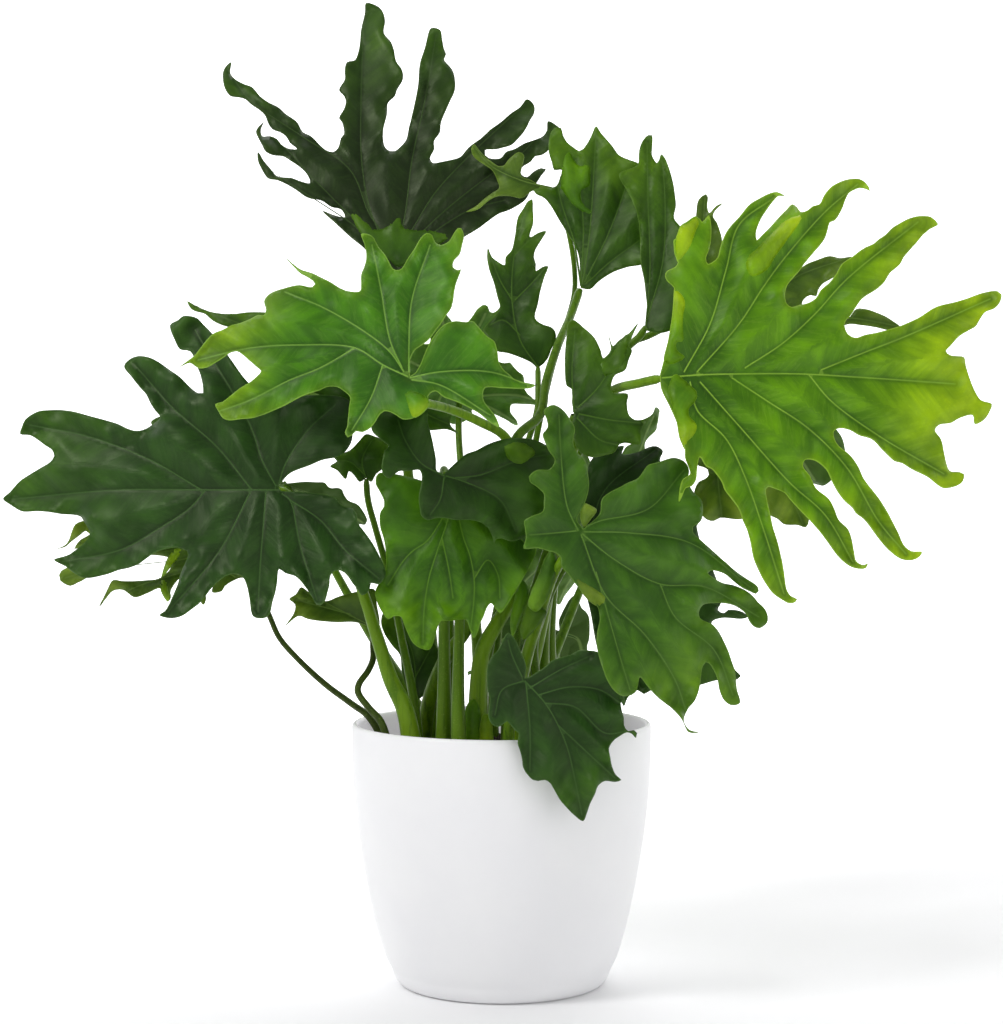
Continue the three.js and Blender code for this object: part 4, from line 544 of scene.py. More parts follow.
# Leaves on the far side: a named blade turned about its joint, in degrees about Z and then tipped back
farPlans = {
    "far_left": {"like": "left_large", "mirrored": True, "size": 0.74, "turn": 168, "tip": -22,
                 "at": (-172, 128, 366), "foot": (-54, 46), "way": [(-150, 122, 330), (-110, 100, 262)]},
    "far_high": {"like": "front_left", "mirrored": True, "size": 0.86, "turn": 190, "tip": -18,
                 "at": (-34, 168, 432), "foot": (-14, 76), "way": [(-34, 150, 400), (-24, 116, 300)]},
    "far_right": {"like": "front_right", "mirrored": False, "size": 0.9, "turn": 205, "tip": -15,
                  "at": (92, 176, 356), "foot": (18, 72), "way": [(84, 164, 330), (54, 116, 262)]},
    "far_side": {"like": "front_middle", "mirrored": True, "size": 1.05, "turn": 150, "tip": -20,
                 "at": (196, 128, 408), "foot": (70, 50), "way": [(180, 124, 380), (116, 92, 276)]},
    "far_low": {"like": "over_rim", "mirrored": False, "size": 0.95, "turn": 185, "tip": -8,
                "at": (46, 140, 246), "foot": (44, 76), "way": [(44, 126, 232)]},
}

bladeShape = {
    "thickness": 0.8, "edgeThickness": 0.45, "bulge": 6.2, "bulgeWidth": 11.5,
    "crease": 0.7, "creaseWidth": 2.2, "meshStep": 3.3, "edgeStep": 2.6,
    "quilt": 0.2, "quiltPitch": 17, "quiltSlant": 0.9,
    "edgeCurl": 1.4, "edgeCurlWidth": 5, "ruffle": 2.9, "ruffleWidth": 11, "swell": 2.2,
    "wavePitch": (17, 19), "unevenPitch": (9, 8), "unevenHeight": 2.2, "rufflePitch": (4.3, 4.9, 6.1),
    "swellPitch": (8.5, 10.5), "calmReach": 22, "calmFade": 30, "fadeWidth": 3,
    "ribRadius": 0.85, "ribTip": 0.12, "ribSunk": 0.7, "foldWidth": 3.2,
}


def makeMaterial(name):
    material = bpy.data.materials.new(name)
    material.use_nodes = True
    return material, material.node_tree, material.node_tree.nodes["Principled BSDF"]


def addNode(tree, kind, **settings):
    node = tree.nodes.new(kind)
    for key, value in settings.items():
        setattr(node, key, value)
    return node


def mathNode(tree, operation, first, second):
    node = addNode(tree, "ShaderNodeMath", operation=operation)
    for slot, value in enumerate((first, second)):
        if isinstance(value, (int, float)):
            node.inputs[slot].default_value = value
        else:
            tree.links.new(value, node.inputs[slot])
    return node.outputs[0]


def rangeNode(tree, value, low, high, toLow=0.0, toHigh=1.0):
    node = addNode(tree, "ShaderNodeMapRange", interpolation_type="SMOOTHSTEP")
    tree.links.new(value, node.inputs["Value"])
    for key, number in (("From Min", low), ("From Max", high), ("To Min", toLow), ("To Max", toHigh)):
        node.inputs[key].default_value = number
    return node.outputs["Result"]


def fading(tree, value, near, far, amount):
    # the whole amount up to near, and nothing past far
    return rangeNode(tree, value, near, far, amount, 0.0)


def mixColours(tree, factor, first, second, blend="MIX"):
    node = addNode(tree, "ShaderNodeMix", data_type="RGBA", blend_type=blend)
    for slot, value in ((0, factor), (6, first), (7, second)):
        if isinstance(value, (int, float, tuple)):
            node.inputs[slot].default_value = value
        else:
            tree.links.new(value, node.inputs[slot])
    return node.outputs[2]


def tinted(tree, colour, factors):
    return mixColours(tree, 1.0, colour, (*factors, 1), "MULTIPLY")


def noiseNode(tree, scale, detail=4.0, roughness=0.55, stretch=None):
    place = addNode(tree, "ShaderNodeTexCoord").outputs["Object"]
    if stretch:
        mapping = addNode(tree, "ShaderNodeMapping")
        mapping.inputs["Scale"].default_value = stretch
        tree.links.new(place, mapping.inputs["Vector"])
        place = mapping.outputs[0]
    noise = addNode(tree, "ShaderNodeTexNoise")
    noise.inputs["Scale"].default_value = scale
    noise.inputs["Detail"].default_value = detail
    noise.inputs["Roughness"].default_value = roughness
    tree.links.new(place, noise.inputs["Vector"])
    return noise.outputs["Fac"]


def veinNoise(tree, along, ribAway, pitch, detail):
    # noise drawn out along the side veins, which leave each rib at a slant
    place = addNode(tree, "ShaderNodeCombineXYZ")
    tree.links.new(mathNode(tree, "MULTIPLY", along, pitch[0]), place.inputs["X"])
    tree.links.new(mathNode(tree, "MULTIPLY", ribAway, pitch[1]), place.inputs["Y"])
    noise = addNode(tree, "ShaderNodeTexNoise")
    noise.inputs["Scale"].default_value = 1.0
    noise.inputs["Detail"].default_value = detail
    tree.links.new(place.outputs[0], noise.inputs["Vector"])
    return noise.outputs["Fac"]


def rampNode(tree, value, stops):
    ramp = addNode(tree, "ShaderNodeValToRGB")
    ramp.color_ramp.interpolation = "EASE"
    while len(ramp.color_ramp.elements) < len(stops):
        ramp.color_ramp.elements.new(0.5)
    for element, (position, colour) in zip(ramp.color_ramp.elements, stops):
        element.position = position
        element.color = colour
    tree.links.new(value, ramp.inputs["Fac"])
    return ramp.outputs["Color"]


def setBump(tree, shader, height, strength, depth):
    bump = addNode(tree, "ShaderNodeBump")
    bump.inputs["Strength"].default_value = strength
    bump.inputs["Distance"].default_value = depth
    tree.links.new(height, bump.inputs["Height"])
    tree.links.new(bump.outputs["Normal"], shader.inputs["Normal"])


def setSheen(shader, level, tint):
    shader.inputs["Specular IOR Level"].default_value = level
    shader.inputs["Specular Tint"].default_value = (*tint, 1.0)


# Lengths are millimetres on the leaf; a fade is where it starts, where it ends and how strong it is
leafLook = {
    "cloud": (34, 5), "bandPitch": (0.05, 0.016), "bandShare": 0.6, "mottle": (0.36, 0.64),
    "mottleDark": (0.6, 0.68, 0.58), "mottleLight": (1.32, 1.24, 1.1),
    # the valley tint darkens the colour along the ribs: painted shade
    "margin": (1.0, 7.0, 0.14), "valley": (0.8, 12.0, 0.55), "valleyPaintedShade": (0.42, 0.56, 0.42),
    "streakPitch": (0.16, 0.03), "streak": (0.36, 0.64), "streakLight": (1.24, 1.18, 1.12),
    "veinRise": (0.47, 0.5), "veinFall": (0.5, 0.53), "veinShare": 0.12,
    # the crease tint darkens the colour beside each rib: painted shade
    "crease": (1.0, 3.4, 0.42), "creasePaintedShade": (0.4, 0.5, 0.4), "ribSide": (0.2, 0.9, 0.4),
    "edgeLine": (0.2, 0.9, 0.6), "edgeLight": (1.4, 1.3, 1.2),
    "fleckScale": 420, "fleck": (0.52, 0.75), "fleckShare": 0.4, "fleckLight": (1.3, 1.25, 1.15),
    "under": (104, 136, 64), "underShare": 0.35, "underRib": (132, 160, 90), "underRibFade": (0.4, 1.8, 0.6),
    "gloss": (60, 3), "roughness": (0.42, 0.54), "underRoughness": 0.2,
    "streakHeight": 3.0, "fleckHeight": 0.4, "bump": (0.3, 0.0005), "sheen": (0.3, (0.88, 1.0, 0.66)),
}


def leafMaterial(tone):
    look = leafLook
    colours = {key: linear(*value) for key, value in leafTones[tone].items()}
    material, tree, shader = makeMaterial("leaf_" + tone)
    reach, ribAway, edgeAway, along, fade, under = (
        addNode(tree, "ShaderNodeAttribute", attribute_name=key).outputs["Fac"]
        for key in ("reach", "ribAway", "edgeAway", "along", "fade", "under"))
    flesh = rampNode(tree, reach, [(0.0, colours["core"]), (0.5, colours["mid"]), (1.0, colours["tip"])])
    # broad patches, cloudy at first and drawn out into bands where the side veins run
    cloud = noiseNode(tree, *look["cloud"])
    bands = veinNoise(tree, along, ribAway, look["bandPitch"], 2.0)
    bandShare = mathNode(tree, "MULTIPLY", fade, look["bandShare"])
    towardBands = mathNode(tree, "MULTIPLY", mathNode(tree, "SUBTRACT", bands, cloud), bandShare)
    mottle = rangeNode(tree, mathNode(tree, "ADD", cloud, towardBands), *look["mottle"])
    darker, lighter = (tinted(tree, flesh, look[key]) for key in ("mottleDark", "mottleLight"))
    flesh = mixColours(tree, mottle, darker, lighter)
    # a yellower margin, and painted shade in the valleys along the ribs
    flesh = mixColours(tree, fading(tree, edgeAway, *look["margin"]), flesh, colours["tip"])
    paintedValleyShade = tinted(tree, flesh, look["valleyPaintedShade"])
    flesh = mixColours(tree, fading(tree, ribAway, *look["valley"]), flesh, paintedValleyShade)
    # narrow streaks and the thin side veins themselves
    streakNoise = veinNoise(tree, along, ribAway, look["streakPitch"], 3.0)
    streak = mathNode(tree, "MULTIPLY", rangeNode(tree, streakNoise, *look["streak"]), fade)
    flesh = mixColours(tree, streak, flesh, tinted(tree, flesh, look["streakLight"]))
    veinFall = fading(tree, streakNoise, *look["veinFall"], 1.0)
    thinVein = mathNode(tree, "MULTIPLY", veinFall, rangeNode(tree, streakNoise, *look["veinRise"]))
    thinVein = mathNode(tree, "MULTIPLY", mathNode(tree, "MULTIPLY", thinVein, fade), look["veinShare"])
    flesh = mixColours(tree, thinVein, flesh, colours["rib"])
    # painted shade in a crease beside each rib, the rib's own colour at its foot, and a pale line round the
    # edge
    paintedCreaseShade = tinted(tree, flesh, look["creasePaintedShade"])
    flesh = mixColours(tree, fading(tree, ribAway, *look["crease"]), flesh, paintedCreaseShade)
    flesh = mixColours(tree, fading(tree, ribAway, *look["ribSide"]), flesh, colours["rib"])
    edgeColour = tinted(tree, colours["rib"], look["edgeLight"])
    flesh = mixColours(tree, fading(tree, edgeAway, *look["edgeLine"]), flesh, edgeColour)
    fleck = noiseNode(tree, look["fleckScale"], 2)
    fleckAmount = rangeNode(tree, fleck, *look["fleck"], 0.0, look["fleckShare"])
    flesh = mixColours(tree, fleckAmount, flesh, tinted(tree, flesh, look["fleckLight"]))
    pale = mixColours(tree, look["underShare"], flesh, linear(*look["under"]))
    pale = mixColours(tree, fading(tree, ribAway, *look["underRibFade"]), pale, linear(*look["underRib"]))
    tree.links.new(mixColours(tree, under, flesh, pale), shader.inputs["Base Color"])
    gloss = rangeNode(tree, noiseNode(tree, *look["gloss"]), 0.3, 0.7, *look["roughness"])
    rougher = mathNode(tree, "MULTIPLY", under, look["underRoughness"])
    tree.links.new(mathNode(tree, "ADD", gloss, rougher), shader.inputs["Roughness"])
    height = mathNode(tree, "MULTIPLY", streakNoise, mathNode(tree, "MULTIPLY", fade, look["streakHeight"]))
    height = mathNode(tree, "ADD", height, mathNode(tree, "MULTIPLY", fleck, look["fleckHeight"]))
    setBump(tree, shader, height, *look["bump"])
    setSheen(shader, *look["sheen"])
    return material


ribLook = {"patchScale": 50, "dulled": 0.4, "roughness": 0.45, "sheen": (0.25, (0.88, 1.0, 0.66))}


def ribMaterial(tone):
    material, tree, shader = makeMaterial("rib_" + tone)
    colour, flesh = linear(*leafTones[tone]["rib"]), linear(*leafTones[tone]["mid"])
    patches = rangeNode(tree, noiseNode(tree, ribLook["patchScale"], 3), 0.3, 0.7)
    dull = mixColours(tree, ribLook["dulled"], colour, flesh)
    tree.links.new(mixColours(tree, patches, dull, colour), shader.inputs["Base Color"])
    shader.inputs["Roughness"].default_value = ribLook["roughness"]
    setSheen(shader, *ribLook["sheen"])
    return material


# Colours at the foot, higher up and in the streaks
stemLook = {
    "petiole_green": ((104, 138, 20), (82, 118, 14), (54, 88, 8)),
    "petiole_pale": ((126, 160, 26), (104, 142, 20), (70, 108, 10)),
    "petiole_dark": ((70, 84, 24), (58, 76, 20), (40, 54, 14)),
    "footShare": 0.35, "streaks": (90, 4, 0.6, (3.0, 3.0, 0.16)), "streakRange": (0.45, 0.68, 0.0, 0.8),
    "freckle": (126, 156, 66), "freckles": (700, 2), "freckleRange": (0.58, 0.72, 0.0, 0.3),
    "roughness": (0.34, 0.5), "bump": (0.5, 0.0006), "sheen": (0.3, (0.9, 1.0, 0.6)),
}


def stemMaterial(name):
    material, tree, shader = makeMaterial(name)
    low, high, streak = (linear(*colour) for colour in stemLook[name])
    rise = addNode(tree, "ShaderNodeAttribute", attribute_name="rise").outputs["Fac"]
    base = rampNode(tree, rise, [(0.0, low), (stemLook["footShare"], high), (1.0, high)])
    streaks = noiseNode(tree, *stemLook["streaks"])
    base = mixColours(tree, rangeNode(tree, streaks, *stemLook["streakRange"]), base, streak)
    freckle = rangeNode(tree, noiseNode(tree, *stemLook["freckles"]), *stemLook["freckleRange"])
    base = mixColours(tree, freckle, base, linear(*stemLook["freckle"]))
    tree.links.new(base, shader.inputs["Base Color"])
    tree.links.new(rangeNode(tree, streaks, 0.3, 0.7, *stemLook["roughness"]), shader.inputs["Roughness"])
    setBump(tree, shader, streaks, *stemLook["bump"])
    setSheen(shader, *stemLook["sheen"])
    return material


# The inside wall glows a little: painted light, an emission that brightens the inner wall above the soil
potLook = {
    "light": (241, 241, 242), "shade": (238, 238, 240), "speck": (205, 205, 205),
    "glowColour": (236, 230, 242), "outsideGlow": 0.0, "insideGlow": 0.34,
    "roughness": (0.42, 0.52), "bump": (0.12, 0.0004),
    "cloud": (14, 4), "specks": (900, 2), "speckRange": (0.68, 0.78, 0.0, 0.12), "grain": (260, 3),
}


def potMaterial(name, glow):
    material, tree, shader = makeMaterial(name)
    shader.inputs["Emission Color"].default_value = linear(*potLook["glowColour"])
    shader.inputs["Emission Strength"].default_value = glow
    cloud = noiseNode(tree, *potLook["cloud"])
    patches = rangeNode(tree, cloud, 0.3, 0.7)
    base = mixColours(tree, patches, linear(*potLook["light"]), linear(*potLook["shade"]))
    speck = rangeNode(tree, noiseNode(tree, *potLook["specks"]), *potLook["speckRange"])
    tree.links.new(mixColours(tree, speck, base, linear(*potLook["speck"])), shader.inputs["Base Color"])
    tree.links.new(rangeNode(tree, cloud, 0.3, 0.7, *potLook["roughness"]), shader.inputs["Roughness"])
    setBump(tree, shader, noiseNode(tree, *potLook["grain"]), *potLook["bump"])
    return material


soilLook = {
    "stops": [(0.3, (30, 21, 15)), (0.55, (58, 42, 30)), (0.8, (96, 74, 54))],
    "patches": (130, 6, 0.7), "grain": (900, 5, 0.7), "roughness": 0.92, "bump": (0.9, 0.0012),
}


def soilMaterial():
    material, tree, shader = makeMaterial("soil_crumb")
    stops = [(position, linear(*colour)) for position, colour in soilLook["stops"]]
    patches = noiseNode(tree, *soilLook["patches"])
    tree.links.new(rampNode(tree, patches, stops), shader.inputs["Base Color"])
    shader.inputs["Roughness"].default_value = soilLook["roughness"]
    setBump(tree, shader, noiseNode(tree, *soilLook["grain"]), *soilLook["bump"])
    return material


materials = {"leaf_" + tone: leafMaterial(tone) for tone in leafTones}
materials |= {"rib_" + tone: ribMaterial(tone) for tone in leafTones}
materials |= {name: stemMaterial(name) for name in ("petiole_green", "petiole_pale", "petiole_dark")}
materials["pot"] = potMaterial("pot_white", potLook["outsideGlow"])
materials["potInside"] = potMaterial("pot_inside_painted_glow", potLook["insideGlow"])
materials["soil"] = soilMaterial()
print("materials made:", len(materials))


def newPiece(name, mesh):
    piece = bpy.data.objects.new(name, mesh)
    bpy.context.scene.collection.objects.link(piece)
    return piece


def setAttributes(mesh, values):
    for key, numbers in values.items():
        attribute = mesh.attributes.new(key, "FLOAT", "POINT")
        attribute.data.foreach_set("value", np.asarray(numbers, dtype=np.float32))


def smoothPath(points, perSpan):
    # centripetal Catmull-Rom curve through the points
    points = np.asarray(points, float)
    ends = np.vstack([2 * points[0] - points[1], points, 2 * points[-1] - points[-2]])
    result = []
    for i in range(1, len(ends) - 2):
        p0, p1, p2, p3 = ends[i - 1:i + 3]
        t1 = max(np.linalg.norm(p1 - p0), 1e-6) ** 0.5
        t2 = t1 + max(np.linalg.norm(p2 - p1), 1e-6) ** 0.5
        t3 = t2 + max(np.linalg.norm(p3 - p2), 1e-6) ** 0.5
        count = perSpan if isinstance(perSpan, int) else max(1, int(np.linalg.norm(p2 - p1) / perSpan))
        for t in np.linspace(t1, t2, count, endpoint=False):
            a1 = (t1 - t) / t1 * p0 + t / t1 * p1
            a2 = (t2 - t) / (t2 - t1) * p1 + (t - t1) / (t2 - t1) * p2
            a3 = (t3 - t) / (t3 - t2) * p2 + (t - t2) / (t3 - t2) * p3
            b1 = (t2 - t) / t2 * a1 + t / t2 * a2
            b2 = (t3 - t) / (t3 - t1) * a2 + (t - t1) / (t3 - t1) * a3
            result.append((t2 - t) / (t2 - t1) * b1 + (t - t1) / (t2 - t1) * b2)
    result.append(points[-1])
    return np.array(result)


def awayFromLine(points, line):
    # nearest distance to a polyline, and how far along it
    away = np.full(len(points), np.inf)
    along = np.zeros(len(points))
    travelled = 0.0
    for start, end in zip(line[:-1], line[1:]):
        span = end - start
        length = max(np.linalg.norm(span), 1e-9)
        share = np.clip(((points - start) @ span) / length ** 2, 0, 1)
        gap = np.linalg.norm(points - start - share[:, None] * span, axis=1)
        nearer = gap < away
        away[nearer] = gap[nearer]
        along[nearer] = travelled + share[nearer] * length
        travelled += length
    return away, along


def bladeDepth(plan, points):
    # the smooth form of a leaf: lean, arch, cup, waves, and ribs sunk between swollen lobes
    x = (points[:, 0] - plan["joint"][0]) * plan["scale"]
    z = (plan["joint"][1] - points[:, 1]) * plan["scale"]
    tip = plan["ribLines"][0][-1]
    midrib = np.array([tip[0] - plan["joint"][0], plan["joint"][1] - tip[1]])
    midrib = midrib / np.linalg.norm(midrib)
    across = np.abs(x * midrib[1] - z * midrib[0])
    reach = np.hypot(x, z)
    ribAway = np.min([awayFromLine(points, line)[0] for line in plan["ribLines"]], axis=0) * plan["scale"]
    height, phase = plan["wave"]
    depth = plan["depth"] + plan["lean"][0] * x + plan["lean"][1] * z + plan["arch"] * (reach / 100) ** 2
    depth -= plan["cup"] * np.minimum(1, across / 100) ** 1.5
    waveX, waveZ = bladeShape["wavePitch"]
    depth += height * np.sin(x / waveX + phase) * np.cos(z / waveZ + 1.7 * phase) * np.minimum(1, reach / 50)
    depth -= bladeShape["bulge"] * (1 - np.exp(-(ribAway / bladeShape["bulgeWidth"]) ** 2))
    return depth + bladeShape["crease"] * np.exp(-ribAway / bladeShape["creaseWidth"])


def insideOutline(points, outline):
    x, y = points[:, 0], points[:, 1]
    inside = np.zeros(len(points), bool)
    for (ax, ay), (bx, by) in zip(outline, np.roll(outline, -1, axis=0)):
        crosses = (ay > y) != (by > y)
        if ay != by:
            inside ^= crosses & (x < (bx - ax) * (y - ay) / (by - ay) + ax)
    return inside


def evenGrid(outline, step):
    low, high = outline.min(axis=0), outline.max(axis=0)
    rows = np.arange(low[1], high[1], step * 0.87)
    columns = np.arange(low[0], high[0], step)
    u, v = np.meshgrid(columns, rows)
    u = u + (np.arange(len(rows)) % 2)[:, None] * 0.5 * step
    points = np.column_stack([u.ravel(), v.ravel()])
    points = points[insideOutline(points, outline)]
    away, _ = awayFromLine(points, np.vstack([outline, outline[:1]]))
    return points[away > 0.6 * step]


def vertexNormals(points, faces):
    normals = np.zeros_like(points)
    a, b, c = (points[faces[:, k]] for k in range(3))
    faceNormals = np.cross(b - a, c - a)
    for k in range(3):
        np.add.at(normals, faces[:, k], faceNormals)
    return normals / np.maximum(np.linalg.norm(normals, axis=1), 1e-12)[:, None]


def preparePlan(plan):
    given = readPoints(plan["outline"])
    outline = smoothPath(np.vstack([given, given[:1]]), bladeShape["edgeStep"])[:-1]
    plan["edge"] = outline[np.linalg.norm(outline - np.roll(outline, 1, axis=0), axis=1) > 0.4]
    lines = [readPoints(vein) for vein in plan["veins"]]
    plan["ribLines"] = [smoothPath(line, bladeShape["meshStep"]) for line in lines]
    plan["scale"] = (view["distance"] + plan["depth"]) / view["focalLength"]


def faceForm(plan, flat):
    # how deep a leaf's face lies at picture points, and what its material reads there
    scale = plan["scale"]
    measured = [awayFromLine(flat, line) for line in plan["ribLines"]]
    away = np.array([m[0] for m in measured]) * scale
    order = np.sort(away, axis=0)
    ribAway = order[0]
    along = np.array([m[1] for m in measured])[away.argmin(axis=0), np.arange(len(flat))] * scale
    between = order[1] - order[0] if len(measured) > 1 else np.full(len(flat), 20.0)
    edgeAway = awayFromLine(flat, np.vstack([plan["edge"], plan["edge"][:1]]))[0] * scale
    slanted = along - bladeShape["quiltSlant"] * ribAway
    fade = np.clip(between / bladeShape["fadeWidth"], 0, 1) * np.clip(ribAway / bladeShape["fadeWidth"], 0, 1)
    x, z = flat[:, 0] * scale, flat[:, 1] * scale
    phase = plan["wave"][1] * 2.3
    reach = np.linalg.norm(flat - np.array(plan["joint"]), axis=1) * scale
    outer = np.clip((reach - bladeShape["calmReach"]) / bladeShape["calmFade"], 0, 1)
    unevenX, unevenZ = bladeShape["unevenPitch"]
    uneven = bladeShape["unevenHeight"] * np.sin(x / unevenX + phase) * np.cos(z / unevenZ)
    quilt = np.sin((slanted + uneven) * 2 * math.pi / bladeShape["quiltPitch"])
    ruffleX, ruffleZ, ruffleSlant = bladeShape["rufflePitch"]
    ruffle = np.sin(x / ruffleX + phase) * np.cos(z / ruffleZ + 2 * phase)
    ruffle += 0.7 * np.sin((x + z) / ruffleSlant + 3 * phase)
    swellX, swellZ = bladeShape["swellPitch"]
    swell = np.sin(x / swellX + phase) * np.sin(z / swellZ - phase)
    depth = bladeDepth(plan, flat)
    depth += bladeShape["quilt"] * quilt * fade * np.clip(edgeAway / 6, 0, 1)
    depth += bladeShape["edgeCurl"] * np.exp(-(edgeAway / bladeShape["edgeCurlWidth"]) ** 2)
    ruffled = bladeShape["ruffle"] * np.clip(ribAway / 4, 0, 1)
    depth += ruffled * ruffle * np.exp(-(edgeAway / bladeShape["ruffleWidth"]) ** 2) * outer
    depth += bladeShape["swell"] * swell * outer * np.clip(ribAway / 8, 0, 1)
    looks = {"reach": reach / reach.max(), "ribAway": ribAway, "edgeAway": edgeAway, "along": slanted,
             "fade": fade * np.clip(1.3 - ribAway / 30, 0, 1)}
    return depth, looks


def flatMesh(outline, lines):
    # triangles that fill an outline and have an edge along every line
    inner = evenGrid(outline, bladeShape["meshStep"])
    if lines:
        lineAway = np.min([awayFromLine(inner, line)[0] for line in lines], axis=0)
        inner = inner[lineAway > 0.55 * bladeShape["meshStep"]]
    flat = [outline]
    edges = [(i, (i + 1) % len(outline)) for i in range(len(outline))]
    count = len(outline)
    for line in lines:
        line = line[insideOutline(line, outline)]
        edges += [(count + i, count + i + 1) for i in range(len(line) - 1)]
        flat.append(line)
        count += len(line)
    flat = np.vstack([*flat, inner])
    verts, _, faces, _, _, _ = delaunay_2d_cdt([Vector((p[0], -p[1])) for p in flat], edges, [], 0, 1e-4)
    flat = np.array([[v.x, -v.y] for v in verts])
    faces = np.array([f for f in faces if len(f) == 3])
    faces = faces[insideOutline(flat[faces].mean(axis=1), outline)]
    used = np.unique(faces)
    renumber = np.full(len(flat), -1)
    renumber[used] = np.arange(len(used))
    flat, faces = flat[used], renumber[faces]
    a, b, c = (flat[faces[:, k]] * (1, -1) for k in range(3))
    clockwise = (b[:, 0] - a[:, 0]) * (c[:, 1] - a[:, 1]) - (b[:, 1] - a[:, 1]) * (c[:, 0] - a[:, 0]) < 0
    faces[clockwise] = faces[clockwise][:, [0, 2, 1]]
    return flat, faces


def bladeSurface(plan):
    # the blade's front face in millimetres, its triangles and what the material reads
    flat, faces = flatMesh(plan["edge"], plan["ribLines"])
    depth, looks = faceForm(plan, flat)
    points = inSpace(flat[:, 0], flat[:, 1], depth)
    return {"points": points, "faces": faces, "looks": looks, "joint": inSpace(*plan["joint"], plan["depth"]),
            "ribs": ribPaths(plan)}


def foldSurface(plan, fold):
    # a strip of the leaf rolled over its own face: its edges touch the face and its middle stands off
    given = readPoints(fold["outline"])
    outline = smoothPath(np.vstack([given, given[:1]]), bladeShape["edgeStep"])[:-1]
    flat, faces = flatMesh(outline, [])
    depth, looks = faceForm(plan, flat)
    if "depth" in fold:
        depth = np.full(len(flat), float(fold["depth"]))
    edgeAway = awayFromLine(flat, np.vstack([outline, outline[:1]]))[0] * plan["scale"]
    depth += 0.3 - fold["lift"] * (1 - np.exp(-(edgeAway / bladeShape["foldWidth"]) ** 2))
    looks["edgeAway"] = edgeAway
    looks["ribAway"] = np.full(len(flat), 20.0)
    looks["fade"] = 0.5 * looks["fade"]
    return {"points": inSpace(flat[:, 0], flat[:, 1], depth), "faces": faces, "looks": looks}


def ribPaths(plan):
    # each rib as points in space with a radius that thins towards the tip
    paths = []
    for line in plan["ribLines"]:
        line = line[insideOutline(line, plan["edge"])]
        if len(line) < 3:
            continue
        share = np.linspace(0, 1, len(line))
        start = min(1.0, np.linalg.norm(line[0] - plan["joint"]) / 120)
        radius = bladeShape["ribRadius"] * (1 - 0.45 * start)
        radii = bladeShape["ribTip"] + (radius - bladeShape["ribTip"]) * (1 - share) ** 1.2
        depth, _ = faceForm(plan, line)
        paths.append((inSpace(line[:, 0], line[:, 1], depth + bladeShape["ribSunk"] * radii), radii))
    return paths


def turned(surface, far):
    # the same blade placed on the far side
    about = Matrix.Rotation(math.radians(far["turn"]), 3, "Z")
    back = Matrix.Rotation(math.radians(far["tip"]), 3, "X")
    flip = np.diag([-far["size"] if far["mirrored"] else far["size"], far["size"], far["size"]])
    turn = np.array(about @ back) @ flip

    def move(points):
        return (points - surface["joint"]) @ turn.T + np.array(far["at"])

    faces = surface["faces"][:, [0, 2, 1]] if far["mirrored"] else surface["faces"]
    ribs = [(move(points), radii * far["size"]) for points, radii in surface["ribs"]]
    return {"points": move(surface["points"]), "faces": faces, "looks": surface["looks"],
            "joint": np.array(far["at"], float), "ribs": ribs}


def newTree(name, inputs):
    # a node tree with named inputs, and the identifier of each
    tree = bpy.data.node_groups.new(name, "GeometryNodeTree")
    tree.is_modifier = True
    tree.interface.new_socket("Geometry", in_out="INPUT", socket_type="NodeSocketGeometry")
    wanted = {}
    for label, kind in inputs.items():
        socket = tree.interface.new_socket(label, in_out="INPUT", socket_type="NodeSocket" + kind)
        wanted[label] = socket.identifier
    tree.interface.new_socket("Geometry", in_out="OUTPUT", socket_type="NodeSocketGeometry")
    return tree, wanted


def linkAll(tree, links):
    for source, output, target, socket in links:
        tree.links.new(source.outputs[output], target.inputs[socket])


def applied(piece, tree, wanted, values):
    # what the tree makes of a piece, as a plain mesh; the piece itself goes
    modifier = piece.modifiers.new("nodes", "NODES")
    modifier.node_group = tree
    for label, value in values.items():
        modifier[wanted[label]] = value
    made = bpy.data.meshes.new_from_object(piece.evaluated_get(bpy.context.evaluated_depsgraph_get()))
    bpy.data.objects.remove(piece)
    return made


def makeTubeTree():
    # sweeps a round section along every path and thins it by the path's own radius
    tree, wanted = newTree("tube along a path", {
        "thickness factor": "Float", "section sides": "Int", "finish": "Material"})
    given = addNode(tree, "NodeGroupInput")
    toCurve = addNode(tree, "GeometryNodeMeshToCurve")
    setRadius = addNode(tree, "GeometryNodeSetCurveRadius")
    readRadius = addNode(tree, "GeometryNodeInputNamedAttribute", data_type="FLOAT")
    readRadius.inputs["Name"].default_value = "stemRadius"
    radius = addNode(tree, "ShaderNodeMath", operation="MULTIPLY")
    section = addNode(tree, "GeometryNodeCurvePrimitiveCircle")
    section.inputs["Radius"].default_value = 1.0
    sweep = addNode(tree, "GeometryNodeCurveToMesh")
    sweep.inputs["Fill Caps"].default_value = True
    realize = addNode(tree, "GeometryNodeRealizeInstances")
    smooth = addNode(tree, "GeometryNodeSetShadeSmooth")
    paint = addNode(tree, "GeometryNodeSetMaterial")
    result = addNode(tree, "NodeGroupOutput")
    linkAll(tree, [
        (given, "Geometry", toCurve, "Mesh"),
        (toCurve, "Curve", setRadius, "Curve"),
        (readRadius, "Attribute", radius, 0),
        (given, "thickness factor", radius, 1),
        (radius, 0, setRadius, "Radius"),
        (radius, 0, sweep, "Scale"),
        (given, "section sides", section, "Resolution"),
        (setRadius, "Curve", sweep, "Curve"),
        (section, "Curve", sweep, "Profile Curve"),
        (sweep, "Mesh", realize, "Geometry"),
        (realize, "Geometry", smooth, "Geometry"),
        (smooth, "Geometry", paint, "Geometry"),
        (given, "finish", paint, "Material"),
        (paint, "Geometry", result, "Geometry"),
    ])
    return tree, wanted


tubeTree, tubeInputs = makeTubeTree()


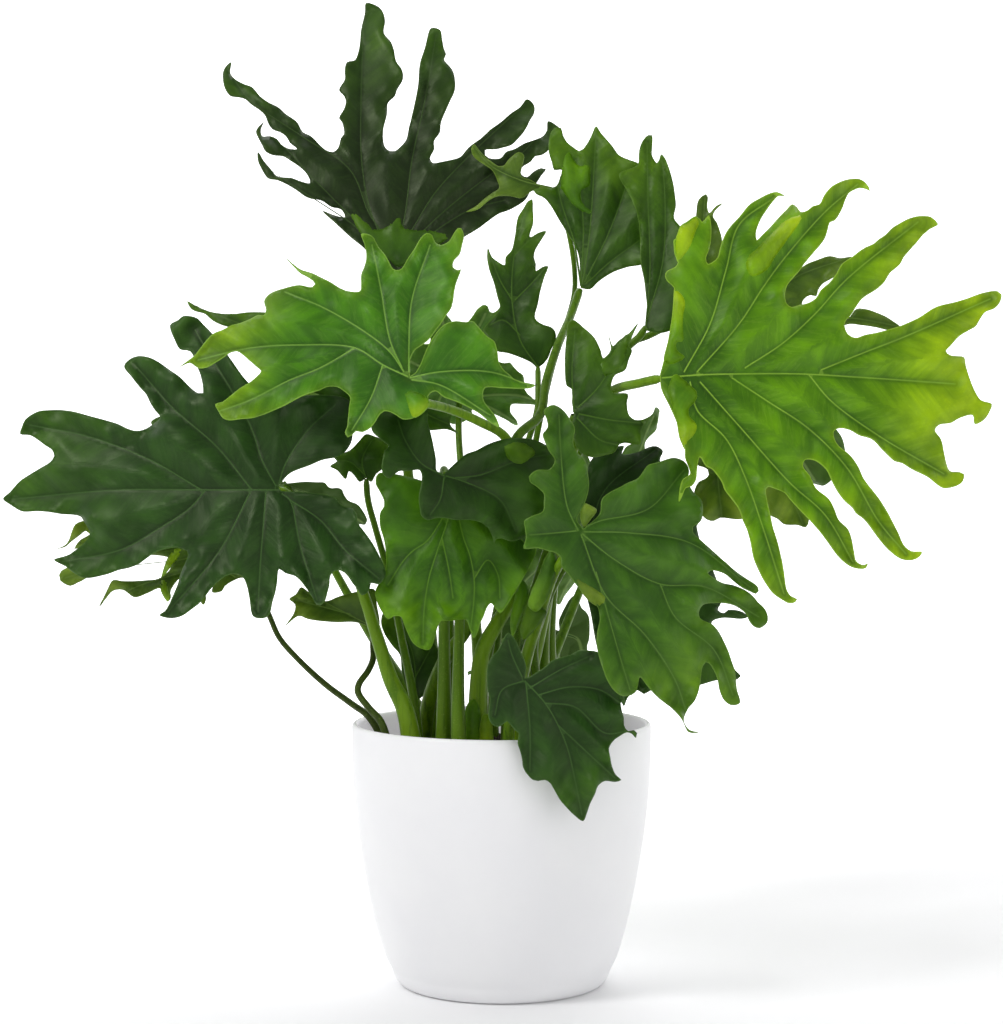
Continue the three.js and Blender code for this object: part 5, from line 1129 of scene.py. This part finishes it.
def sweepPaths(name, paths, sides, material, rises=()):
    # paths are points and radii in mm, and rises say how far up the stalk each point is
    verts, edges, radii = [], [], []
    for points, radius in paths:
        start = len(verts)
        verts += [tuple(p * mm) for p in points]
        edges += [(start + i, start + i + 1) for i in range(len(points) - 1)]
        radii += list(np.asarray(radius) * mm)
    mesh = bpy.data.meshes.new(name)
    mesh.from_pydata(verts, edges, [])
    setAttributes(mesh, {"stemRadius": radii})
    if len(rises):
        setAttributes(mesh, {"rise": rises})
    return applied(newPiece(name + "_path", mesh), tubeTree, tubeInputs, {
        "thickness factor": 1.0, "section sides": sides, "finish": material})


def bladeMesh(name, surface, material):
    points, faces, looks = surface["points"], surface["faces"], surface["looks"]
    normals = vertexNormals(points, faces)
    inward = np.clip(looks["edgeAway"] / 4, 0, 1)
    thickness = bladeShape["edgeThickness"] + (bladeShape["thickness"] - bladeShape["edgeThickness"]) * inward
    back = points - normals * thickness[:, None]
    count = len(points)
    directed = {(int(f[k]), int(f[(k + 1) % 3])) for f in faces for k in range(3)}
    rim = [(a, b) for a, b in directed if (b, a) not in directed]
    walls = [(b, a, a + count, b + count) for a, b in rim]
    fronts = [tuple(map(int, f)) for f in faces]
    backs = [tuple(int(i) + count for i in f[::-1]) for f in faces]
    mesh = bpy.data.meshes.new(name)
    mesh.from_pydata([tuple(p) for p in np.vstack([points, back]) * mm], [], fronts + backs + walls)
    doubled = {key: np.concatenate([value, value]) for key, value in looks.items()}
    doubled["under"] = np.concatenate([np.zeros(count), np.ones(count)])
    setAttributes(mesh, doubled)
    mesh.materials.append(material)
    mesh.polygons.foreach_set("use_smooth", [True] * len(mesh.polygons))
    return mesh


def joinMeshes(name, meshes):
    # puts plain meshes into one object, each with its own material
    parts = [newPiece(f"{name}_{i}", mesh) for i, mesh in enumerate(meshes)]
    with bpy.context.temp_override(active_object=parts[0], selected_editable_objects=parts, object=parts[0]):
        bpy.ops.object.join()
    parts[0].name = name
    parts[0].data.name = name
    return parts[0]


def dress(piece, node):
    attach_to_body(piece, "root")
    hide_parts(node)


stalkShape = {
    "soilTop": 168, "rooted": 20, "collar": 6, "samples": 7, "behind": 2.6, "sides": 18, "ribSides": 8,
    "swelling": 2.2, "endShare": 0.015, "endThins": 0.45, "darkBelow": 4, "paleAbove": 8,
}


def petiolePath(foot, way, end, radii):
    base = [foot[0], foot[1], stalkShape["soilTop"] - stalkShape["rooted"]]
    collar = [foot[0], foot[1], stalkShape["soilTop"] + stalkShape["collar"]]
    path = smoothPath([base, collar, *way, end], stalkShape["samples"])
    steps = np.linalg.norm(np.diff(path, axis=0), axis=1)
    share = np.concatenate([[0], np.cumsum(steps)]) / steps.sum()
    radius = radii[1] + (radii[0] - radii[1]) * (1 - share) ** stalkShape["swelling"]
    atEnd = np.clip((share - 1 + stalkShape["endShare"]) / stalkShape["endShare"], 0, 1)
    radius *= 1 - stalkShape["endThins"] * atEnd
    return path, radius, share


def stalkFinish(footRadius):
    if footRadius < stalkShape["darkBelow"]:
        return materials["petiole_dark"]
    if footRadius > stalkShape["paleAbove"]:
        return materials["petiole_pale"]
    return materials["petiole_green"]


def makeLeaf(name, surface, plan, attach, foot, way, radii, folds=(), sheaths=()):
    tone = plan["tone"]
    face = bladeMesh(name + "_face", surface, materials["leaf_" + tone])
    ribs = sweepPaths(name + "_ribs", surface["ribs"], stalkShape["ribSides"], materials["rib_" + tone])
    rolled = [bladeMesh(f"{name}_fold_{i}", fold, materials["leaf_" + colour])
              for i, (fold, colour) in enumerate(folds)]
    dress(joinMeshes(name + "_leaf", [face, ribs, *rolled]), name + "_blade")
    path, radius, share = petiolePath(foot, way, attach + np.array([0, stalkShape["behind"], 0]), radii)
    stem = sweepPaths(name, [(path, radius)], stalkShape["sides"], stalkFinish(radii[0]), share)
    wraps = [bladeMesh(f"{name}_sheath_{i}", sheath, materials["leaf_" + colour])
             for i, (sheath, colour) in enumerate(sheaths)]
    dress(joinMeshes(name + "_stalk", [stem, *wraps]), name + "_petiole")


surfaces = {}
for name, plan in leafPlans.items():
    preparePlan(plan)
    surfaces[name] = bladeSurface(plan)
    mine = [fold for fold in foldPlans if fold["on"] == name]
    folds = [(foldSurface(plan, fold), fold["tone"]) for fold in mine if "depth" not in fold]
    sheaths = [(foldSurface(plan, fold), fold["tone"]) for fold in mine if "depth" in fold]
    attach = np.array(plan.get("attach", plan["joint"]), float)[None, :]
    depth = bladeDepth(plan, attach)
    end = inSpace(attach[0, 0], attach[0, 1], depth[0])
    way = [inSpace(*point) for point in reversed(plan["via"])]
    makeLeaf(name, surfaces[name], plan, end, plan["foot"], way, plan["radii"], folds, sheaths)
print("leaves and petioles made:", len(surfaces))

for name, far in farPlans.items():
    plan = leafPlans[far["like"]]
    surface = turned(surfaces[far["like"]], far)
    way = [np.array(point, float) for point in reversed(far["way"])]
    radii = [0.85 * radius for radius in plan["radii"]]
    makeLeaf(name, surface, plan, surface["joint"], far["foot"], way, radii)
print("far leaves made:", len(farPlans))

# Outside radii and heights from the foot up, in millimetres
pot = {
    "sides": 160, "wall": 4.6, "floor": 6, "rimRadius": 110, "baseRadius": 60, "cornerHeight": 12,
    "lipHeight": 188.3, "lipRise": 3.5, "lipArc": (12, 168, 9),
    "insideTop": 186, "insideSteps": 14, "glowFrom": 100,
    "outside": [(70, 0), (74.2, 0.9), (77, 3.4), (79.4, 7.4), (81, 12), (85, 20), (92, 43.5), (99.2, 77),
                (104.8, 111), (108.2, 140), (109.5, 162), (110, 188)],
}


def insideRadius(height):
    radii, heights = zip(*pot["outside"])
    return float(np.interp(height, heights, radii)) - pot["wall"]


def lathe(name, profile, sides):
    turns = np.linspace(0, 2 * math.pi, sides, endpoint=False)
    verts, rings = [], []
    for radius, height in profile:
        if radius < 1e-6:
            rings.append([len(verts)] * sides)
            verts.append((0, 0, height * mm))
        else:
            rings.append(list(range(len(verts), len(verts) + sides)))
            verts += [(radius * mm * math.cos(t), radius * mm * math.sin(t), height * mm) for t in turns]
    faces = []
    for low, high in zip(rings[:-1], rings[1:]):
        for k in range(sides):
            face = [low[k], low[(k + 1) % sides], high[(k + 1) % sides], high[k]]
            faces.append(list(dict.fromkeys(face)))
    mesh = bpy.data.meshes.new(name)
    mesh.from_pydata(verts, [], faces)
    mesh.polygons.foreach_set("use_smooth", [True] * len(mesh.polygons))
    return mesh


def makePot():
    wallCurve = smoothPath(pot["outside"][4:], 6)
    foot = smoothPath(pot["outside"][:5], 4)[:-1]
    half = pot["wall"] / 2
    middle = pot["rimRadius"] - half
    lip = [(middle + half * math.cos(a), pot["lipHeight"] + pot["lipRise"] * math.sin(a))
           for a in np.radians(np.linspace(*pot["lipArc"]))]
    heights = np.linspace(pot["insideTop"], pot["cornerHeight"], pot["insideSteps"])
    inside = [(insideRadius(h), h) for h in heights]
    cornerRadius = insideRadius(pot["cornerHeight"])
    corner = [(cornerRadius - 2, pot["floor"] + 2.5), (cornerRadius - 6, pot["floor"])]
    profile = [(0, 0), (pot["baseRadius"], 0), *foot, *wallCurve, *lip, *inside, *corner, (0, pot["floor"])]
    mesh = lathe("pot_shell", profile, pot["sides"])
    mesh.materials.append(materials["pot"])
    mesh.materials.append(materials["potInside"])
    # faces of the inside wall above glowFrom take the material with the painted glow
    for face in mesh.polygons:
        place = face.center.xy
        within = face.center.z > pot["glowFrom"] * mm and place.length < (middle - 1) * mm
        face.material_index = int(within and face.normal.xy.dot(place) < 0)
    dress(newPiece("pot_shell", mesh), "pot")


soil = {
    "top": 168, "mound": 6, "bottom": 7, "gap": 0.5, "rings": 40, "sides": 120,
    "wallHeights": (7, 20, 43.5, 77, 111, 140), "reliefAbove": 160, "coverRadius": 0.1,
    "crumbs": 1900, "crumbArea": 0.031, "crumbSmall": 0.0009, "crumbLarge": 0.0032,
    "crumbSplits": 2, "crumbLumps": 1.4, "seed": 7,
}


def soilHeight(x, y):
    share = np.hypot(x, y) / insideRadius(soil["top"])
    ripple = 1.1 * np.sin(x * 0.31 + 1) * np.cos(y * 0.27) + 0.7 * np.sin(x * 0.83 + y * 0.61)
    mound = soil["mound"] * (1 - share ** 2) - 1.2 * share ** 8
    return soil["top"] + mound + ripple * np.clip(4 * (1 - share), 0, 1)


def makeCrumbTree():
    # scatters lumpy crumbs over the soil's top, each of its own size and turn
    tree, wanted = newTree("crumbs on soil", {
        "crumbs per square metre": "Float", "smallest": "Float", "largest": "Float", "seed": "Int",
        "finish": "Material"})
    given = addNode(tree, "NodeGroupInput")
    scatter = addNode(tree, "GeometryNodeDistributePointsOnFaces")
    ball = addNode(tree, "GeometryNodeMeshIcoSphere")
    ball.inputs["Radius"].default_value = 1.0
    ball.inputs["Subdivisions"].default_value = soil["crumbSplits"]
    shake = addNode(tree, "GeometryNodeSetPosition")
    lump = addNode(tree, "ShaderNodeTexNoise")
    lump.inputs["Scale"].default_value = soil["crumbLumps"]
    shift = addNode(tree, "ShaderNodeVectorMath", operation="SUBTRACT")
    shift.inputs[1].default_value = (0.5, 0.5, 0.5)
    place = addNode(tree, "GeometryNodeInstanceOnPoints")
    size = addNode(tree, "FunctionNodeRandomValue", data_type="FLOAT")
    spin = addNode(tree, "FunctionNodeRandomValue", data_type="FLOAT_VECTOR")
    spin.inputs["Max"].default_value = (6.28, 6.28, 6.28)
    join = addNode(tree, "GeometryNodeJoinGeometry")
    realize = addNode(tree, "GeometryNodeRealizeInstances")
    paint = addNode(tree, "GeometryNodeSetMaterial")
    result = addNode(tree, "NodeGroupOutput")
    linkAll(tree, [
        (given, "Geometry", scatter, "Mesh"),
        (given, "crumbs per square metre", scatter, "Density"),
        (given, "seed", scatter, "Seed"),
        (ball, "Mesh", shake, "Geometry"),
        (lump, "Color", shift, 0),
        (shift, 0, shake, "Offset"),
        (scatter, "Points", place, "Points"),
        (shake, "Geometry", place, "Instance"),
        (given, "smallest", size, 2),
        (given, "largest", size, 3),
        (given, "seed", size, "Seed"),
        (given, "seed", spin, "Seed"),
        (size, 1, place, "Scale"),
        (spin, "Value", place, "Rotation"),
        (given, "Geometry", join, 0),
        (place, "Instances", join, 0),
        (join, 0, realize, "Geometry"),
        (realize, "Geometry", paint, "Geometry"),
        (given, "finish", paint, "Material"),
        (paint, "Geometry", result, "Geometry"),
    ])
    return tree, wanted


def soilCover(bed):
    # the part of the soil's top that can be seen, where the crumbs lie
    verts = bed.vertices
    seen = [all(verts[i].co.xy.length < soil["coverRadius"] for i in p.vertices) for p in bed.polygons]
    keep = [p for p, near in zip(bed.polygons, seen) if near and p.normal.z > 0.5]
    used = sorted({i for p in keep for i in p.vertices})
    order = {old: new for new, old in enumerate(used)}
    faces = [[order[i] for i in p.vertices] for p in keep]
    cover = bpy.data.meshes.new("soil_cover")
    cover.from_pydata([verts[i].co[:] for i in used], [], faces)
    return newPiece("soil_cover", cover)


def makeSoil():
    edge = insideRadius(soil["top"]) - soil["gap"]
    wall = [(insideRadius(h) - soil["gap"], h) for h in soil["wallHeights"]]
    rings = [(edge * share, soil["top"]) for share in np.linspace(1, 0, soil["rings"])]
    bed = lathe("soil_bed", [(0, soil["bottom"]), *wall, *rings], soil["sides"])
    for vertex in bed.vertices:
        if vertex.co.z > soil["reliefAbove"] * mm:
            vertex.co.z = float(soilHeight(vertex.co.x / mm, vertex.co.y / mm)) * mm
    bed.materials.append(materials["soil"])
    crumbs = applied(soilCover(bed), *makeCrumbTree(), {
        "crumbs per square metre": soil["crumbs"] / soil["crumbArea"], "smallest": soil["crumbSmall"],
        "largest": soil["crumbLarge"], "seed": soil["seed"], "finish": materials["soil"]})
    dress(joinMeshes("soil_fill", [bed, crumbs]), "soil")


makePot()
makeSoil()
print("pot and soil made")

# Metres and watts; each lamp has its place, its size and its power
studio = {
    "floor": (240, 240, 241), "halfWidth": 14, "wallFoot": 2.2, "bendRadius": 1.4, "wallTop": 7,
    "glow": 0.04, "farGlow": 1.0, "glowBehind": (0.3, 2.0), "glowAround": (1.8, 4.0), "world": 0.42,
    "lamps": {
        "key": ((-1.7, -1.3, 2.4), 0.8, 36),
        "fill": ((1.7, -2.4, 0.9), 2.2, 17),
        "rimLight": ((0.4, 1.6, 2.2), 1.8, 11),
    },
    "aim": (0, 0, 0.35),
}


def floorMaterial():
    # it brightens behind the plant, and far out on every side, so that no horizon shows
    material, tree, shader = makeMaterial("floor_white")
    shader.inputs["Base Color"].default_value = linear(*studio["floor"])
    shader.inputs["Roughness"].default_value = 0.8
    shader.inputs["Emission Color"].default_value = (1, 1, 1, 1)
    place = addNode(tree, "ShaderNodeTexCoord").outputs["Object"]
    split = addNode(tree, "ShaderNodeSeparateXYZ")
    tree.links.new(place, split.inputs[0])
    far = addNode(tree, "ShaderNodeVectorMath", operation="LENGTH")
    tree.links.new(place, far.inputs[0])
    glows = (studio["glow"], studio["farGlow"])
    behind = rangeNode(tree, split.outputs["Y"], *studio["glowBehind"], *glows)
    around = rangeNode(tree, far.outputs["Value"], *studio["glowAround"], *glows)
    tree.links.new(mathNode(tree, "MAXIMUM", behind, around), shader.inputs["Emission Strength"])
    return material


def makeFloor():
    # a floor that bends up into a bright wall behind the plant
    half, foot, bendRadius = (studio[key] for key in ("halfWidth", "wallFoot", "bendRadius"))
    bend = [(foot + bendRadius * math.sin(a), bendRadius - bendRadius * math.cos(a))
            for a in np.linspace(0, math.pi / 2, 13)]
    rows = [(-half, 0), (0.4, 0), (1.2, 0), *bend, (foot + bendRadius, studio["wallTop"])]
    verts = [(x, y, z) for y, z in rows for x in (-half, half)]
    mesh = bpy.data.meshes.new("floor")
    mesh.from_pydata(verts, [], [(2 * i, 2 * i + 1, 2 * i + 3, 2 * i + 2) for i in range(len(rows) - 1)])
    mesh.polygons.foreach_set("use_smooth", [True] * len(mesh.polygons))
    mesh.materials.append(floorMaterial())
    newPiece("floor", mesh)


def makeLights():
    for name, (place, size, power) in studio["lamps"].items():
        lamp = bpy.data.lights.new(name, "AREA")
        lamp.size = size
        lamp.energy = power
        light = newPiece(name, lamp)
        light.location = place
        light.rotation_euler = (Vector(studio["aim"]) - Vector(place)).to_track_quat("-Z", "Y").to_euler()
    world = bpy.data.worlds.new("studio")
    bpy.context.scene.world = world
    world.use_nodes = True
    tree = world.node_tree
    sky = tree.nodes["Background"]
    sky.inputs["Color"].default_value = (1, 1, 1, 1)
    seen = addNode(tree, "ShaderNodeLightPath").outputs["Is Camera Ray"]
    tree.links.new(rangeNode(tree, seen, 0, 1, studio["world"], 1.0), sky.inputs["Strength"])
    bpy.context.scene.view_settings.view_transform = "Standard"


def makeCamera():
    camera = bpy.data.cameras.new("front")
    camera.sensor_width = view["sensor"]
    camera.lens = view["focalLength"] / view["longSide"] * view["sensor"]
    camera.clip_end = 30
    eye = newPiece("front", camera)
    eye.location = (0, -view["distance"] * mm, view["height"] * mm)
    eye.rotation_euler = (math.radians(90) - tilt, 0, 0)
    bpy.context.scene.camera = eye


makeFloor()
makeLights()
makeCamera()
print("studio made")
